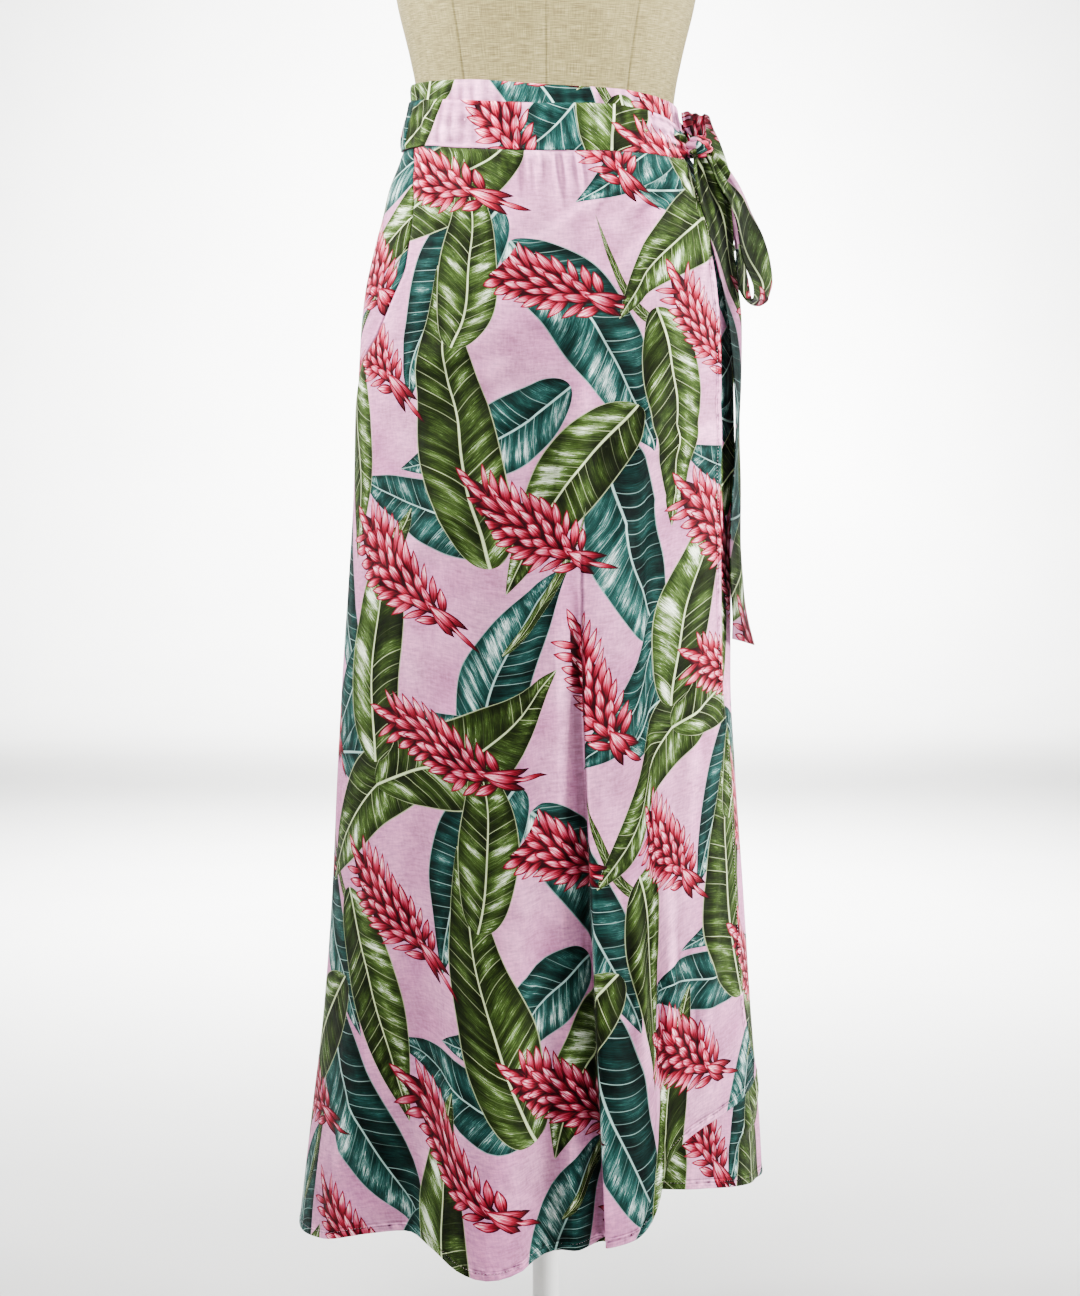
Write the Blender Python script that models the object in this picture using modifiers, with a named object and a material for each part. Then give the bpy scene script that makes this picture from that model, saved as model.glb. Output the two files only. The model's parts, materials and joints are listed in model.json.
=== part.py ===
"""A floor-length wrap skirt tied at the hip, standing on a limbless dress form.

Run with: blender --background --python part.py
Metres, +Z up.  The origin is on the floor, at the middle of the stand's base.  The front faces -Y.
Angles go round the body from the middle of the front: 90 is +X, -90 is -X, 180 is the middle of
the back.  Heights are above the floor.
"""
from bisect import bisect_right
from collections import namedtuple
from math import cos, degrees, exp, hypot, radians, sin

import bmesh
import bpy
from mathutils import Vector

MM = 0.001

# ---------------------------------------------------------------- driving sizes
CLOTH_WALL = 1.2 * MM
BAND_WALL = 1.6 * MM
TIE_WALL = 1.4 * MM
SEAM_GAP = 0.3 * MM
LAYER_LIFT = 2.3 * MM        # the outer wrap panel and its band stand this far outside the inner ones
LIFT_BLEND = 11.0            # degrees from the left seam in which the outer panel gains that lift

HEM_LEVEL = 0.150            # lowest stretch of hem
LEFT_SEAM_TOP = 1.1444       # where the left side seam meets the waistband
BACK_SEAM_ANGLE = 92.0       # right side seam, where the inner wrap panel meets the back
COVERED_SETBACK = 1.2 * MM   # the inner wrap panel hangs this much looser where the outer one covers it
WAIST_MIDDLE = 1.160         # height at which the bands' end gaps are measured

POLE_RADIUS = 12.5 * MM
BASE_RADIUS = 175 * MM
BASE_THICK = 9 * MM
BASE_HUB_RADIUS = 28 * MM
BASE_HUB_HEIGHT = 42 * MM
PLATE_RADIUS = 60 * MM
PLATE_THICK = 8 * MM
SOCKET_RADIUS = 20 * MM      # the plate's socket, into which the pole goes
SOCKET_LENGTH = 30 * MM
FORM_BOTTOM = 0.865
FORM_NECK_TOP = 1.660
ARM_PLATE_X = 0.152          # the form's sides are flat where the arms would be

# ---------------------------------------------------------------- tables
# The skirt's base surface: the outer face of the back and of the inner wrap panel.
Section = namedtuple("Section", "height left right front back")
SKIRT_SECTIONS = (
    Section(0.150, 0.2300, 0.2060, 0.190, 0.200),
    Section(0.243, 0.2190, 0.2010, 0.182, 0.194),
    Section(0.357, 0.2055, 0.1916, 0.171, 0.184),
    Section(0.471, 0.1970, 0.1844, 0.160, 0.174),
    Section(0.584, 0.1915, 0.1762, 0.150, 0.166),
    Section(0.668, 0.1865, 0.1715, 0.142, 0.160),
    Section(0.752, 0.1807, 0.1714, 0.135, 0.155),
    Section(0.835, 0.1755, 0.1727, 0.128, 0.149),
    Section(0.918, 0.1733, 0.1726, 0.123, 0.143),
    Section(0.973, 0.1705, 0.1718, 0.119, 0.138),
    Section(1.014, 0.1664, 0.1682, 0.115, 0.132),
    Section(1.055, 0.1575, 0.1607, 0.109, 0.122),
    Section(1.083, 0.1500, 0.1530, 0.104, 0.113),
    Section(1.110, 0.1435, 0.1430, 0.098, 0.103),
    Section(1.140, 0.1322, 0.1290, 0.092, 0.092),
    Section(1.164, 0.1281, 0.1225, 0.088, 0.088),
    Section(1.190, 0.1236, 0.1190, 0.086, 0.086),
    Section(1.210, 0.1245, 0.1200, 0.087, 0.087),
)

# Soft ridges (+) and hollows (-).  They start at top and reach depth at the hem, where they are
# spread degrees to each side of angle.  lean is how far the top lies from that angle.
Fold = namedtuple("Fold", "angle spread depth top lean")
OVER_FOLDS = (
    Fold(-38, 10, -0.026, 0.66, 4),
    Fold(-13, 8, 0.022, 0.60, 2),
    Fold(3, 7, -0.024, 0.70, 0),
    Fold(8, 2.2, 0.008, 0.38, 0),
    Fold(22, 5, 0.004, 0.60, -3),
)
BACK_FOLDS = (
    Fold(118, 9, -0.014, 0.66, 2),
    Fold(138, 9, 0.016, 0.74, 0),
    Fold(160, 9, -0.018, 0.62, -2),
    Fold(180, 8, 0.018, 0.70, 1),
    Fold(201, 9, -0.020, 0.66, 2),
    Fold(224, 10, 0.018, 0.76, -3),
    Fold(246, 8, -0.012, 0.60, 0),
)
UNDER_FOLDS = (
    Fold(46, 7, -0.007, 0.60, 0),
    Fold(76, 6, -0.004, 0.50, 0),
)

# The inner wrap panel hangs clear inside the outer one's folds between these angles.
Hollow = namedtuple("Hollow", "start full_from full_to end depth top")
UNDER_HOLLOW = Hollow(-78, -52, 17, 46, -0.046, 0.86)

COVER_END = (50.0, 60.0)     # degrees in which its setback under the outer panel fades out
COVER_BLEND = 0.10           # of its length below the waistband, in which the setback comes in

# The deep fold down the front: the cloth doubles back, so that its right side laps over its left.
# Bumps are placed in spreads from the fold's angle.
Tuck = namedtuple("Tuck", "angle spread depth crest pull top lean")
MAIN_TUCK = Tuck(16.3, 7.0, 0.028, 0.005, 0.0135, 0.80, -5.0)
Bump = namedtuple("Bump", "at wide")
TUCK_TROUGH = Bump(-0.60, 0.50)
TUCK_CREST = Bump(0.45, 0.55)
TUCK_PULL_IN = Bump(-0.55, 0.45)
TUCK_PULL_OUT = Bump(0.35, 0.45)
FOLD_POWER = 1.25            # folds gain depth slowly at first
HOLLOW_POWER = 1.0
FOLD_OVERSHOOT = 1.1         # the most a fold grows, just past the hem

Level = namedtuple("Level", "angle height")
OVER_HEM = (
    Level(-100, 0.150), Level(-81, 0.150), Level(-61, 0.157), Level(-46, 0.171), Level(-35, 0.176),
    Level(-27, 0.170), Level(-19, 0.158), Level(-11, 0.154), Level(-6, 0.157), Level(-1, 0.168),
    Level(8, 0.171), Level(15, 0.175), Level(22, 0.182), Level(27, 0.196), Level(29.5, 0.215),
    Level(31.5, 0.240), Level(35, 0.254), Level(41, 0.266), Level(52, 0.276), Level(61, 0.282),
    Level(70, 0.289), Level(83, 0.297),
)
UNDER_HEM = (
    Level(-80, 0.190), Level(0, 0.200), Level(31, 0.216), Level(55, 0.208), Level(68, 0.202),
    Level(92, 0.194),
)
BACK_HEM = (
    Level(92, 0.194), Level(125, 0.176), Level(180, 0.160), Level(225, 0.152), Level(255, 0.150),
    Level(280, 0.150),
)

# Where the panels end, as angles that change with height.
Edge = namedtuple("Edge", "height angle")
FREE_EDGE = (
    Edge(0.290, 83.0), Edge(0.310, 77.5), Edge(0.335, 72.5), Edge(0.370, 69.6), Edge(0.460, 70.0),
    Edge(0.560, 71.5), Edge(0.600, 71.5), Edge(0.650, 68.0), Edge(0.780, 65.6), Edge(0.940, 64.8),
    Edge(1.010, 64.8), Edge(1.070, 67.0), Edge(1.110, 70.0), Edge(1.140, 71.0),
)
LEFT_SEAM = (
    Edge(0.150, -96.0), Edge(0.900, -95.0), Edge(0.945, -82.0), Edge(0.976, -64.0),
    Edge(1.007, -56.0), Edge(1.037, -51.0), Edge(1.090, -53.5), Edge(1.124, -60.0),
    Edge(1.150, -68.0), Edge(1.200, -73.0),
)

UNDER_EDGE = (Edge(0.150, -58.0), Edge(0.600, -46.0), Edge(0.900, -36.0), Edge(1.150, -31.0))

# Waistbands and the ties that lie along them: top and bottom edges, and how far their outer face
# stands outside the base surface.
Strip = namedtuple("Strip", "angle top bottom lift")
UNDER_BAND = (
    Strip(-106, 1.2020, 1.1540, 0.0), Strip(-75, 1.2030, 1.1540, 0.0), Strip(-35, 1.2010, 1.1530, 0.0),
    Strip(0, 1.1950, 1.1500, 0.0), Strip(38, 1.1920, 1.1460, 0.0), Strip(66, 1.1870, 1.1410, 0.0),
    Strip(92, 1.1830, 1.1380, 0.0),
)
OVER_BAND = (
    Strip(-73, 1.1880, 1.1444, LAYER_LIFT), Strip(-55, 1.1860, 1.1444, LAYER_LIFT),
    Strip(-35, 1.1830, 1.1405, LAYER_LIFT),
    Strip(0, 1.1785, 1.1365, LAYER_LIFT), Strip(24, 1.1790, 1.1370, LAYER_LIFT),
    Strip(43, 1.1765, 1.1365, LAYER_LIFT), Strip(56, 1.1725, 1.1350, LAYER_LIFT),
    Strip(66, 1.1675, 1.1345, LAYER_LIFT),
)
BACK_BAND = (
    Strip(92, 1.1830, 1.1380, 0.0), Strip(180, 1.1860, 1.1420, 0.0), Strip(232, 1.1880, 1.1440, 0.0),
    Strip(248, 1.1880, 1.1444, LAYER_LIFT), Strip(287, 1.1880, 1.1444, LAYER_LIFT),
)
TIE_SEAT = TIE_WALL + 2 * SEAM_GAP
OVER_TIE = (
    Strip(66, 1.1675, 1.1345, LAYER_LIFT), Strip(70, 1.1640, 1.1355, 0.0036),
    Strip(75.8, 1.1560, 1.1400, 0.0068),
)
ROUND_TIE = (
    Strip(83.5, 1.1560, 1.1400, 0.0085), Strip(90, 1.1640, 1.1385, 0.0066),
    Strip(104, 1.1760, 1.1400, 0.0032), Strip(130, 1.1790, 1.1430, TIE_SEAT),
    Strip(180, 1.1810, 1.1460, TIE_SEAT), Strip(232, 1.1820, 1.1470, TIE_SEAT),
    Strip(248, 1.1830, 1.1480, LAYER_LIFT + TIE_SEAT), Strip(263, 1.1830, 1.1480, LAYER_LIFT + TIE_SEAT),
)

# Free straps of the bow: the middle line, the strap's width there, and the direction in which that
# width lies, in degrees from +X towards +Y.
Stop = namedtuple("Stop", "x y z width turn")
TAIL_LONG = (
    Stop(0.1388, -0.0287, 1.1379, 0.014, 30), Stop(0.1445, -0.0325, 1.112, 0.028, 42),
    Stop(0.1530, -0.0345, 1.085, 0.033, 46), Stop(0.1600, -0.0345, 1.053, 0.036, 56),
    Stop(0.1675, -0.0340, 1.017, 0.036, 68), Stop(0.1725, -0.0330, 0.981, 0.036, 74),
    Stop(0.1745, -0.0320, 0.918, 0.037, 76), Stop(0.1748, -0.0320, 0.854, 0.037, 74),
    Stop(0.1735, -0.0320, 0.790, 0.037, 77), Stop(0.1755, -0.0320, 0.745, 0.037, 68),
    Stop(0.1815, -0.0320, 0.697, 0.038, 52),
)
TAIL_SHORT = (
    Stop(0.1461, -0.0130, 1.1390, 0.008, 60), Stop(0.1590, 0.0000, 1.110, 0.024, 72),
    Stop(0.1665, 0.0080, 1.074, 0.030, 80), Stop(0.1740, 0.0110, 1.029, 0.034, 84),
    Stop(0.1775, 0.0130, 0.974, 0.036, 88), Stop(0.1780, 0.0130, 0.900, 0.036, 86),
    Stop(0.1775, 0.0130, 0.826, 0.036, 88), Stop(0.1765, 0.0130, 0.774, 0.036, 82),
)
LOOP_FRONT = (
    Stop(0.1472, -0.0284, 1.1412, 0.012, 48), Stop(0.1575, -0.0265, 1.126, 0.024, 50),
    Stop(0.1665, -0.0240, 1.110, 0.030, 51), Stop(0.1765, -0.0230, 1.093, 0.034, 52),
    Stop(0.1860, -0.0220, 1.072, 0.036, 53), Stop(0.1935, -0.0210, 1.044, 0.037, 54),
    Stop(0.1985, -0.0190, 1.021, 0.037, 56), Stop(0.1965, -0.0150, 1.009, 0.037, 60),
    Stop(0.1895, -0.0080, 1.0065, 0.037, 66), Stop(0.1830, -0.0020, 1.016, 0.036, 72),
    Stop(0.1785, 0.0020, 1.038, 0.034, 76), Stop(0.1745, 0.0020, 1.062, 0.030, 76),
    Stop(0.1675, -0.0020, 1.090, 0.022, 72), Stop(0.1590, -0.0100, 1.117, 0.014, 66),
    Stop(0.1478, -0.0182, 1.1385, 0.010, 62),
)
LOOP_BACK = (
    Stop(0.1387, -0.0216, 1.1554, 0.013, 16), Stop(0.1350, -0.0180, 1.168, 0.021, 14),
    Stop(0.1370, -0.0110, 1.1775, 0.024, 20), Stop(0.1445, -0.0010, 1.176, 0.025, 38),
    Stop(0.1530, 0.0100, 1.163, 0.027, 54), Stop(0.1620, 0.0190, 1.142, 0.029, 62),
    Stop(0.1740, 0.0265, 1.114, 0.031, 66), Stop(0.1815, 0.0320, 1.087, 0.032, 70),
    Stop(0.1835, 0.0380, 1.066, 0.032, 76), Stop(0.1770, 0.0450, 1.060, 0.032, 84),
    Stop(0.1690, 0.0460, 1.076, 0.031, 90), Stop(0.1625, 0.0400, 1.104, 0.024, 92),
    Stop(0.1550, 0.0240, 1.131, 0.014, 92), Stop(0.1445, -0.0045, 1.147, 0.008, 92),
)
KNOT_CENTRE = (0.1395, -0.0220, 1.1460)
KNOT_RADII = (0.0098, 0.0115, 0.0088)
KNOT_WAIST = 0.10            # how far the wrapped tie draws the knot in
KNOT_WAIST_TALL = 0.25       # of the knot's half height

# The dress form's body: half width, and depths to the front and back of its axis.
Body = namedtuple("Body", "height half front back")
BODY_SECTIONS = (
    Body(0.865, 0.143, 0.094, 0.108), Body(0.885, 0.157, 0.107, 0.121), Body(0.930, 0.1645, 0.113, 0.129),
    Body(0.970, 0.1645, 0.112, 0.129), Body(1.010, 0.1605, 0.110, 0.124), Body(1.050, 0.1515, 0.105, 0.114),
    Body(1.090, 0.1390, 0.098, 0.101), Body(1.125, 0.1275, 0.090, 0.090), Body(1.155, 0.1185, 0.085, 0.084),
    Body(1.180, 0.1163, 0.083, 0.082), Body(1.200, 0.1185, 0.0835, 0.0825), Body(1.230, 0.1245, 0.086, 0.084),
    Body(1.280, 0.1362, 0.094, 0.088), Body(1.330, 0.1430, 0.104, 0.092), Body(1.375, 0.1480, 0.113, 0.096),
    Body(1.420, 0.1530, 0.110, 0.100), Body(1.470, 0.1600, 0.097, 0.100), Body(1.515, 0.1680, 0.082, 0.092),
    Body(1.545, 0.1640, 0.068, 0.080), Body(1.568, 0.1330, 0.058, 0.069), Body(1.585, 0.0900, 0.053, 0.062),
    Body(1.605, 0.0620, 0.052, 0.057), Body(1.635, 0.0560, 0.053, 0.055), Body(1.660, 0.0570, 0.055, 0.055),
)
BUST_HEIGHT = 1.375
BUST_ANGLE = 34.0
BUST_LIFT = 0.016
BUST_SPREAD = 19.0           # degrees
BUST_TALL = 0.052

# Turned profiles: radius, and height above the piece's lowest face.
NECK_CAP_PROFILE = (
    (0.0, 0.046), (0.008, 0.044), (0.012, 0.036), (0.008, 0.026), (0.012, 0.020), (0.046, 0.013),
    (0.056, 0.008), (0.056, 0.0), (0.0, 0.0),
)
BASE_PROFILE = (
    (0.0, BASE_HUB_HEIGHT), (0.020, BASE_HUB_HEIGHT), (0.023, BASE_HUB_HEIGHT - 0.003),
    (BASE_HUB_RADIUS, BASE_THICK + 0.004), (0.045, BASE_THICK + 0.0015),
    (BASE_RADIUS - 0.004, BASE_THICK), (BASE_RADIUS, BASE_THICK - 0.003), (BASE_RADIUS, 0.0), (0.0, 0.0),
)

# Mesh steps
BODY_STEPS = 36
PANEL_ROWS = 20              # the same for all panels, so that their seams match
ROW_CROWD = 1.35             # above 1, rows lie closer near the waist
BAND_ROWS = 4
OVER_ZONES = (16, 14, 15)    # columns left of the main fold, across it, and right of it
TUCK_REACH = 9.5             # degrees each side of the main fold that have the fine columns
UNDER_COLUMNS = 22
BACK_COLUMNS = 32
BAND_STEP = 5.0              # degrees
STRAP_ROWS_PER_STOP = 2
STRAP_COLUMNS = 2
ROUND_STEPS = 32
KNOT_STEPS = (16, 10)
SHARP_ANGLE = 50.0           # degrees
SETTLE_TURNS = 6             # enough for an edge's angle and height to agree

# Linear colours: red, green, blue
PRINT_PINK = (0.76, 0.52, 0.66)
PRINT_TEAL = (0.05, 0.16, 0.15)
PRINT_GREEN = (0.10, 0.19, 0.05)
PRINT_RED = (0.62, 0.08, 0.14)
LINEN = (0.58, 0.54, 0.43)
WHITE_PAINT = (0.82, 0.82, 0.80)
MAPLE = (0.46, 0.30, 0.17)


# ---------------------------------------------------------------- helpers
def curve_through(rows, along, column):
    """Return a smooth function through one column of a table, with no overshoot between rows."""
    places = [getattr(row, along) for row in rows]
    values = [getattr(row, column) for row in rows]
    slopes = [(v1 - v0) / (p1 - p0) for p0, p1, v0, v1 in zip(places, places[1:], values, values[1:])]
    tangents = [slopes[0]]
    for before, after in zip(slopes, slopes[1:]):
        tangents.append(0.0 if before * after <= 0 else 2 * before * after / (before + after))
    tangents.append(slopes[-1])

    def value_at(place):
        place = min(max(place, places[0]), places[-1])
        i = min(bisect_right(places, place) - 1, len(places) - 2)
        step = places[i + 1] - places[i]
        t = (place - places[i]) / step
        start = (2 * t**3 - 3 * t**2 + 1) * values[i] + (t**3 - 2 * t**2 + t) * step * tangents[i]
        end = (3 * t**2 - 2 * t**3) * values[i + 1] + (t**3 - t**2) * step * tangents[i + 1]
        return start + end

    return value_at


def smoothstep(low, high, value):
    t = min(max((value - low) / (high - low), 0.0), 1.0)
    return t * t * (3 - 2 * t)


def mix(a, b, t):
    return a + (b - a) * t


left_at, right_at, front_at, back_at = (
    curve_through(SKIRT_SECTIONS, "height", name) for name in ("left", "right", "front", "back"))
free_edge_at = curve_through(FREE_EDGE, "height", "angle")
left_seam_at = curve_through(LEFT_SEAM, "height", "angle")
under_edge_at = curve_through(UNDER_EDGE, "height", "angle")
over_hem_at = curve_through(OVER_HEM, "angle", "height")
under_hem_at = curve_through(UNDER_HEM, "angle", "height")
back_hem_at = curve_through(BACK_HEM, "angle", "height")
over_band_bottom_at = curve_through(OVER_BAND, "angle", "bottom")
under_band_bottom_at = curve_through(UNDER_BAND, "angle", "bottom")
back_band_bottom_at = curve_through(BACK_BAND, "angle", "bottom")


def make_material(name, color, roughness=0.8, metallic=0.0):
    material = bpy.data.materials.new(name)
    material.use_nodes = True
    shader = material.node_tree.nodes["Principled BSDF"]
    shader.inputs["Base Color"].default_value = (*color, 1.0)
    shader.inputs["Roughness"].default_value = roughness
    shader.inputs["Metallic"].default_value = metallic
    material.diffuse_color = (*color, 1.0)
    return material


def add_object(name, mesh, material, parts, smooth=True):
    """Put a mesh in the scene as one named piece."""
    mesh.materials.append(material)
    if smooth:
        mesh.shade_smooth()
        mesh.set_sharp_from_angle(angle=radians(SHARP_ANGLE))
    piece = bpy.data.objects.new(name, mesh)
    parts.objects.link(piece)
    return piece


def grid_mesh(name, columns, rows, point_at):
    """Make an open grid and lay it on point_at(u, v), where u and v run from 0 to 1."""
    sheet = bmesh.new()
    bmesh.ops.create_grid(sheet, x_segments=columns, y_segments=rows, size=0.5)
    for vert in sheet.verts:
        vert.co = point_at(vert.co.x + 0.5, vert.co.y + 0.5)
    mesh = bpy.data.meshes.new(name)
    sheet.to_mesh(mesh)
    sheet.free()
    return mesh


def cloth_piece(name, columns, rows, point_at, wall, material, parts, side=-1.0):
    """A sheet of cloth: a grid with a wall.  side -1 keeps the grid as the outer face."""
    piece = add_object(name, grid_mesh(name, columns, rows, point_at), material, parts)
    thicken = piece.modifiers.new("cloth wall", "SOLIDIFY")
    thicken.thickness = wall
    thicken.offset = side
    return piece


def turned_piece(name, profile, material, parts):
    """A turned solid: a profile of (radius, height) from the top of the axis to its bottom."""
    mesh = bpy.data.meshes.new(name)
    points = [(radius, 0.0, height) for radius, height in profile]
    mesh.from_pydata(points, [(i, i + 1) for i in range(len(points) - 1)], [])
    piece = add_object(name, mesh, material, parts, smooth=False)
    screw = piece.modifiers.new("turn", "SCREW")
    screw.steps = ROUND_STEPS
    screw.render_steps = ROUND_STEPS
    screw.use_merge_vertices = True
    screw.merge_threshold = 0.00001
    screw.use_smooth_shade = True
    return piece


# ---------------------------------------------------------------- the skirt's surface
def growth(top, height, power=FOLD_POWER):
    """How far a fold that starts at top has grown at this height: 0 there and 1 at the hem."""
    return min(max((top - height) / (top - HEM_LEVEL), 0.0), FOLD_OVERSHOOT) ** power


def reach_at(angle, height):
    """The base surface's half width and its depth on the side of the body where the angle lies."""
    turn = radians(angle)
    across = right_at(height) if sin(turn) >= 0 else left_at(height)
    deep = front_at(height) if cos(turn) >= 0 else back_at(height)
    return turn, across, deep


def skirt_point(angle, height, lift=0.0, slide=0.0):
    """A point of the base surface, moved outwards by lift and along the cloth by slide."""
    turn, across, deep = reach_at(angle, height)
    along = Vector((across * cos(turn), deep * sin(turn), 0.0)).normalized()
    outward = Vector((along.y, -along.x, 0.0))
    return Vector((across * sin(turn), -deep * cos(turn), height)) + lift * outward + slide * along


def fold_lift(folds, angle, height):
    total = 0.0
    for fold in folds:
        grown = growth(fold.top, height)
        centre = fold.angle + fold.lean * (1 - grown)
        total += fold.depth * grown * exp(-((angle - centre) / fold.spread) ** 2)
    return total


def tuck_centre(height):
    return MAIN_TUCK.angle + MAIN_TUCK.lean * (1 - growth(MAIN_TUCK.top, height))


def bump_at(place, bump):
    return exp(-((place - bump.at) / bump.wide) ** 2)


def tuck_shift(angle, height):
    """Lift and slide of the deep fold: a trough that is drawn under the crest at its right."""
    grown = growth(MAIN_TUCK.top, height)
    place = (angle - tuck_centre(height)) / MAIN_TUCK.spread
    lift = MAIN_TUCK.crest * bump_at(place, TUCK_CREST) - MAIN_TUCK.depth * bump_at(place, TUCK_TROUGH)
    slide = MAIN_TUCK.pull * (bump_at(place, TUCK_PULL_IN) - bump_at(place, TUCK_PULL_OUT))
    return grown * lift, grown * slide


def hollow_lift(hollow, angle, height):
    rise = smoothstep(hollow.start, hollow.full_from, angle)
    fall = 1 - smoothstep(hollow.full_to, hollow.end, angle)
    return hollow.depth * growth(hollow.top, height, HOLLOW_POWER) * rise * fall


def settled_angle(angle_at, height_at, down):
    """The angle of an edge or crease, and the height it has there, found together."""
    angle = angle_at(mix(LEFT_SEAM_TOP, HEM_LEVEL, down))
    for _ in range(SETTLE_TURNS):
        angle = angle_at(height_at(angle, down))
    return angle


def half_gap_angle(angle, height):
    """Half a seam's gap as degrees round the body."""
    turn, across, deep = reach_at(angle, height)
    return degrees(SEAM_GAP / 2 / hypot(across * cos(turn), deep * sin(turn)))


def left_seam_half_angle(height):
    """The same at the left side seam, where the gap is wider round the body as the seam runs aslant."""
    probe = 4 * MM
    angle = left_seam_at(height)
    turn, across, deep = reach_at(angle, height)
    rate = radians(left_seam_at(height + probe) - left_seam_at(height - probe)) / (2 * probe)
    return half_gap_angle(angle, height) * hypot(1.0, rate * hypot(across * cos(turn), deep * sin(turn)))


def over_height(angle, down):
    return mix(over_band_bottom_at(angle) - SEAM_GAP, over_hem_at(angle), down)


def under_height(angle, down):
    joined = smoothstep(OVER_BAND[-1].angle, BACK_SEAM_ANGLE, angle)
    top = mix(under_band_bottom_at(angle), back_band_bottom_at(BACK_SEAM_ANGLE), joined)
    return mix(top - SEAM_GAP, under_hem_at(angle), down)


def back_height(angle, down):
    return mix(back_band_bottom_at(angle) - SEAM_GAP, back_hem_at(angle), down)


def left_seam_height(down):
    return mix(LEFT_SEAM_TOP - SEAM_GAP, HEM_LEVEL, down)


def height_by_seam(height, down, from_seam):
    """Both panels take the left seam's own heights as they near it, so that its two sides match."""
    return mix(left_seam_height(down), height, smoothstep(0.0, LIFT_BLEND, from_seam))


def over_front_point(u, v):
    """v runs up from the hem.  The columns lie in three zones, fine across the deep fold."""
    down = (1 - v) ** ROW_CROWD
    seam_height = left_seam_height(down)
    left = left_seam_at(seam_height) + left_seam_half_angle(seam_height)
    right = settled_angle(free_edge_at, over_height, down)
    fold = settled_angle(tuck_centre, over_height, down)
    stops = (left, fold - TUCK_REACH, fold + TUCK_REACH, right)
    column = round(u * sum(OVER_ZONES))
    zone = 0
    while column > OVER_ZONES[zone]:
        column -= OVER_ZONES[zone]
        zone += 1
    angle = mix(stops[zone], stops[zone + 1], column / OVER_ZONES[zone])
    height = height_by_seam(over_height(angle, down), down, angle - left)
    lift = LAYER_LIFT * smoothstep(0.0, LIFT_BLEND, angle - left) + fold_lift(OVER_FOLDS, angle, height)
    tuck_lift, slide = tuck_shift(angle, height)
    return skirt_point(angle, height, lift + tuck_lift, slide)


def under_front_point(u, v):
    down = (1 - v) ** ROW_CROWD
    left = settled_angle(under_edge_at, under_height, down)
    right = BACK_SEAM_ANGLE - half_gap_angle(BACK_SEAM_ANGLE, under_height(BACK_SEAM_ANGLE, down))
    angle = mix(left, right, u)
    height = under_height(angle, down)
    covered = 1 - smoothstep(*COVER_END, angle)
    lift = fold_lift(UNDER_FOLDS, angle, height) + hollow_lift(UNDER_HOLLOW, angle, height)
    return skirt_point(angle, height, lift - COVERED_SETBACK * covered * smoothstep(0.0, COVER_BLEND, down))


def back_panel_point(u, v):
    down = (1 - v) ** ROW_CROWD
    right = BACK_SEAM_ANGLE + half_gap_angle(BACK_SEAM_ANGLE, back_height(BACK_SEAM_ANGLE, down))
    seam_height = left_seam_height(down)
    left = 360 + left_seam_at(seam_height) - left_seam_half_angle(seam_height)
    angle = mix(right, left, u)
    height = height_by_seam(back_height(angle, down), down, left - angle)
    return skirt_point(angle, height, fold_lift(BACK_FOLDS, angle, height))


# ---------------------------------------------------------------- pieces
def make_strip(name, rows, wall, material, parts, gap_at_start=False, gap_at_end=False):
    """A waistband or a tie that lies along the waist, with a seam's gap where it meets the next."""
    top_at, bottom_at, lift_at = (
        curve_through(rows, "angle", column) for column in ("top", "bottom", "lift"))
    start = rows[0].angle + gap_at_start * half_gap_angle(rows[0].angle, WAIST_MIDDLE)
    end = rows[-1].angle - gap_at_end * half_gap_angle(rows[-1].angle, WAIST_MIDDLE)

    def point_at(u, v):
        angle = mix(start, end, u)
        height = mix(bottom_at(angle), top_at(angle), v)
        return skirt_point(angle, height, lift_at(angle))

    columns = max(3, round((end - start) / BAND_STEP))
    return cloth_piece(name, columns, BAND_ROWS, point_at, wall, material, parts)


def make_strap(name, stops, material, parts, slant=0.0):
    """A free strap of the bow.  slant is how much longer one corner of its end hangs."""
    Knot = namedtuple("Knot", "at x y z width turn")
    rows = [Knot(float(i), *stop) for i, stop in enumerate(stops)]
    x_at, y_at, z_at, width_at, turn_at = (
        curve_through(rows, "at", column) for column in ("x", "y", "z", "width", "turn"))
    last = len(stops) - 1

    def point_at(u, v):
        at = v * last
        side = (u - 0.5) * width_at(at)
        turn = radians(turn_at(at))
        drop = slant * (u - 0.5) * smoothstep(last - 1, last, at)
        return Vector((x_at(at) + side * cos(turn), y_at(at) + side * sin(turn), z_at(at) - drop))

    rows_of_mesh = STRAP_ROWS_PER_STOP * last
    return cloth_piece(name, STRAP_COLUMNS, rows_of_mesh, point_at, TIE_WALL, material, parts, side=0.0)


def make_knot(material, parts):
    """The knot: a lump with the shallow waist that the wrapped tie gives it."""
    lump = bmesh.new()
    bmesh.ops.create_uvsphere(lump, u_segments=KNOT_STEPS[0], v_segments=KNOT_STEPS[1], radius=1.0)
    for vert in lump.verts:
        waist = 1 - KNOT_WAIST * exp(-(vert.co.z / KNOT_WAIST_TALL) ** 2)
        vert.co = Vector(KNOT_CENTRE) + Vector(
            (vert.co.x * KNOT_RADII[0] * waist, vert.co.y * KNOT_RADII[1] * waist, vert.co.z * KNOT_RADII[2]))
    mesh = bpy.data.meshes.new("knot")
    lump.to_mesh(mesh)
    lump.free()
    return add_object("knot", mesh, material, parts)


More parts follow.
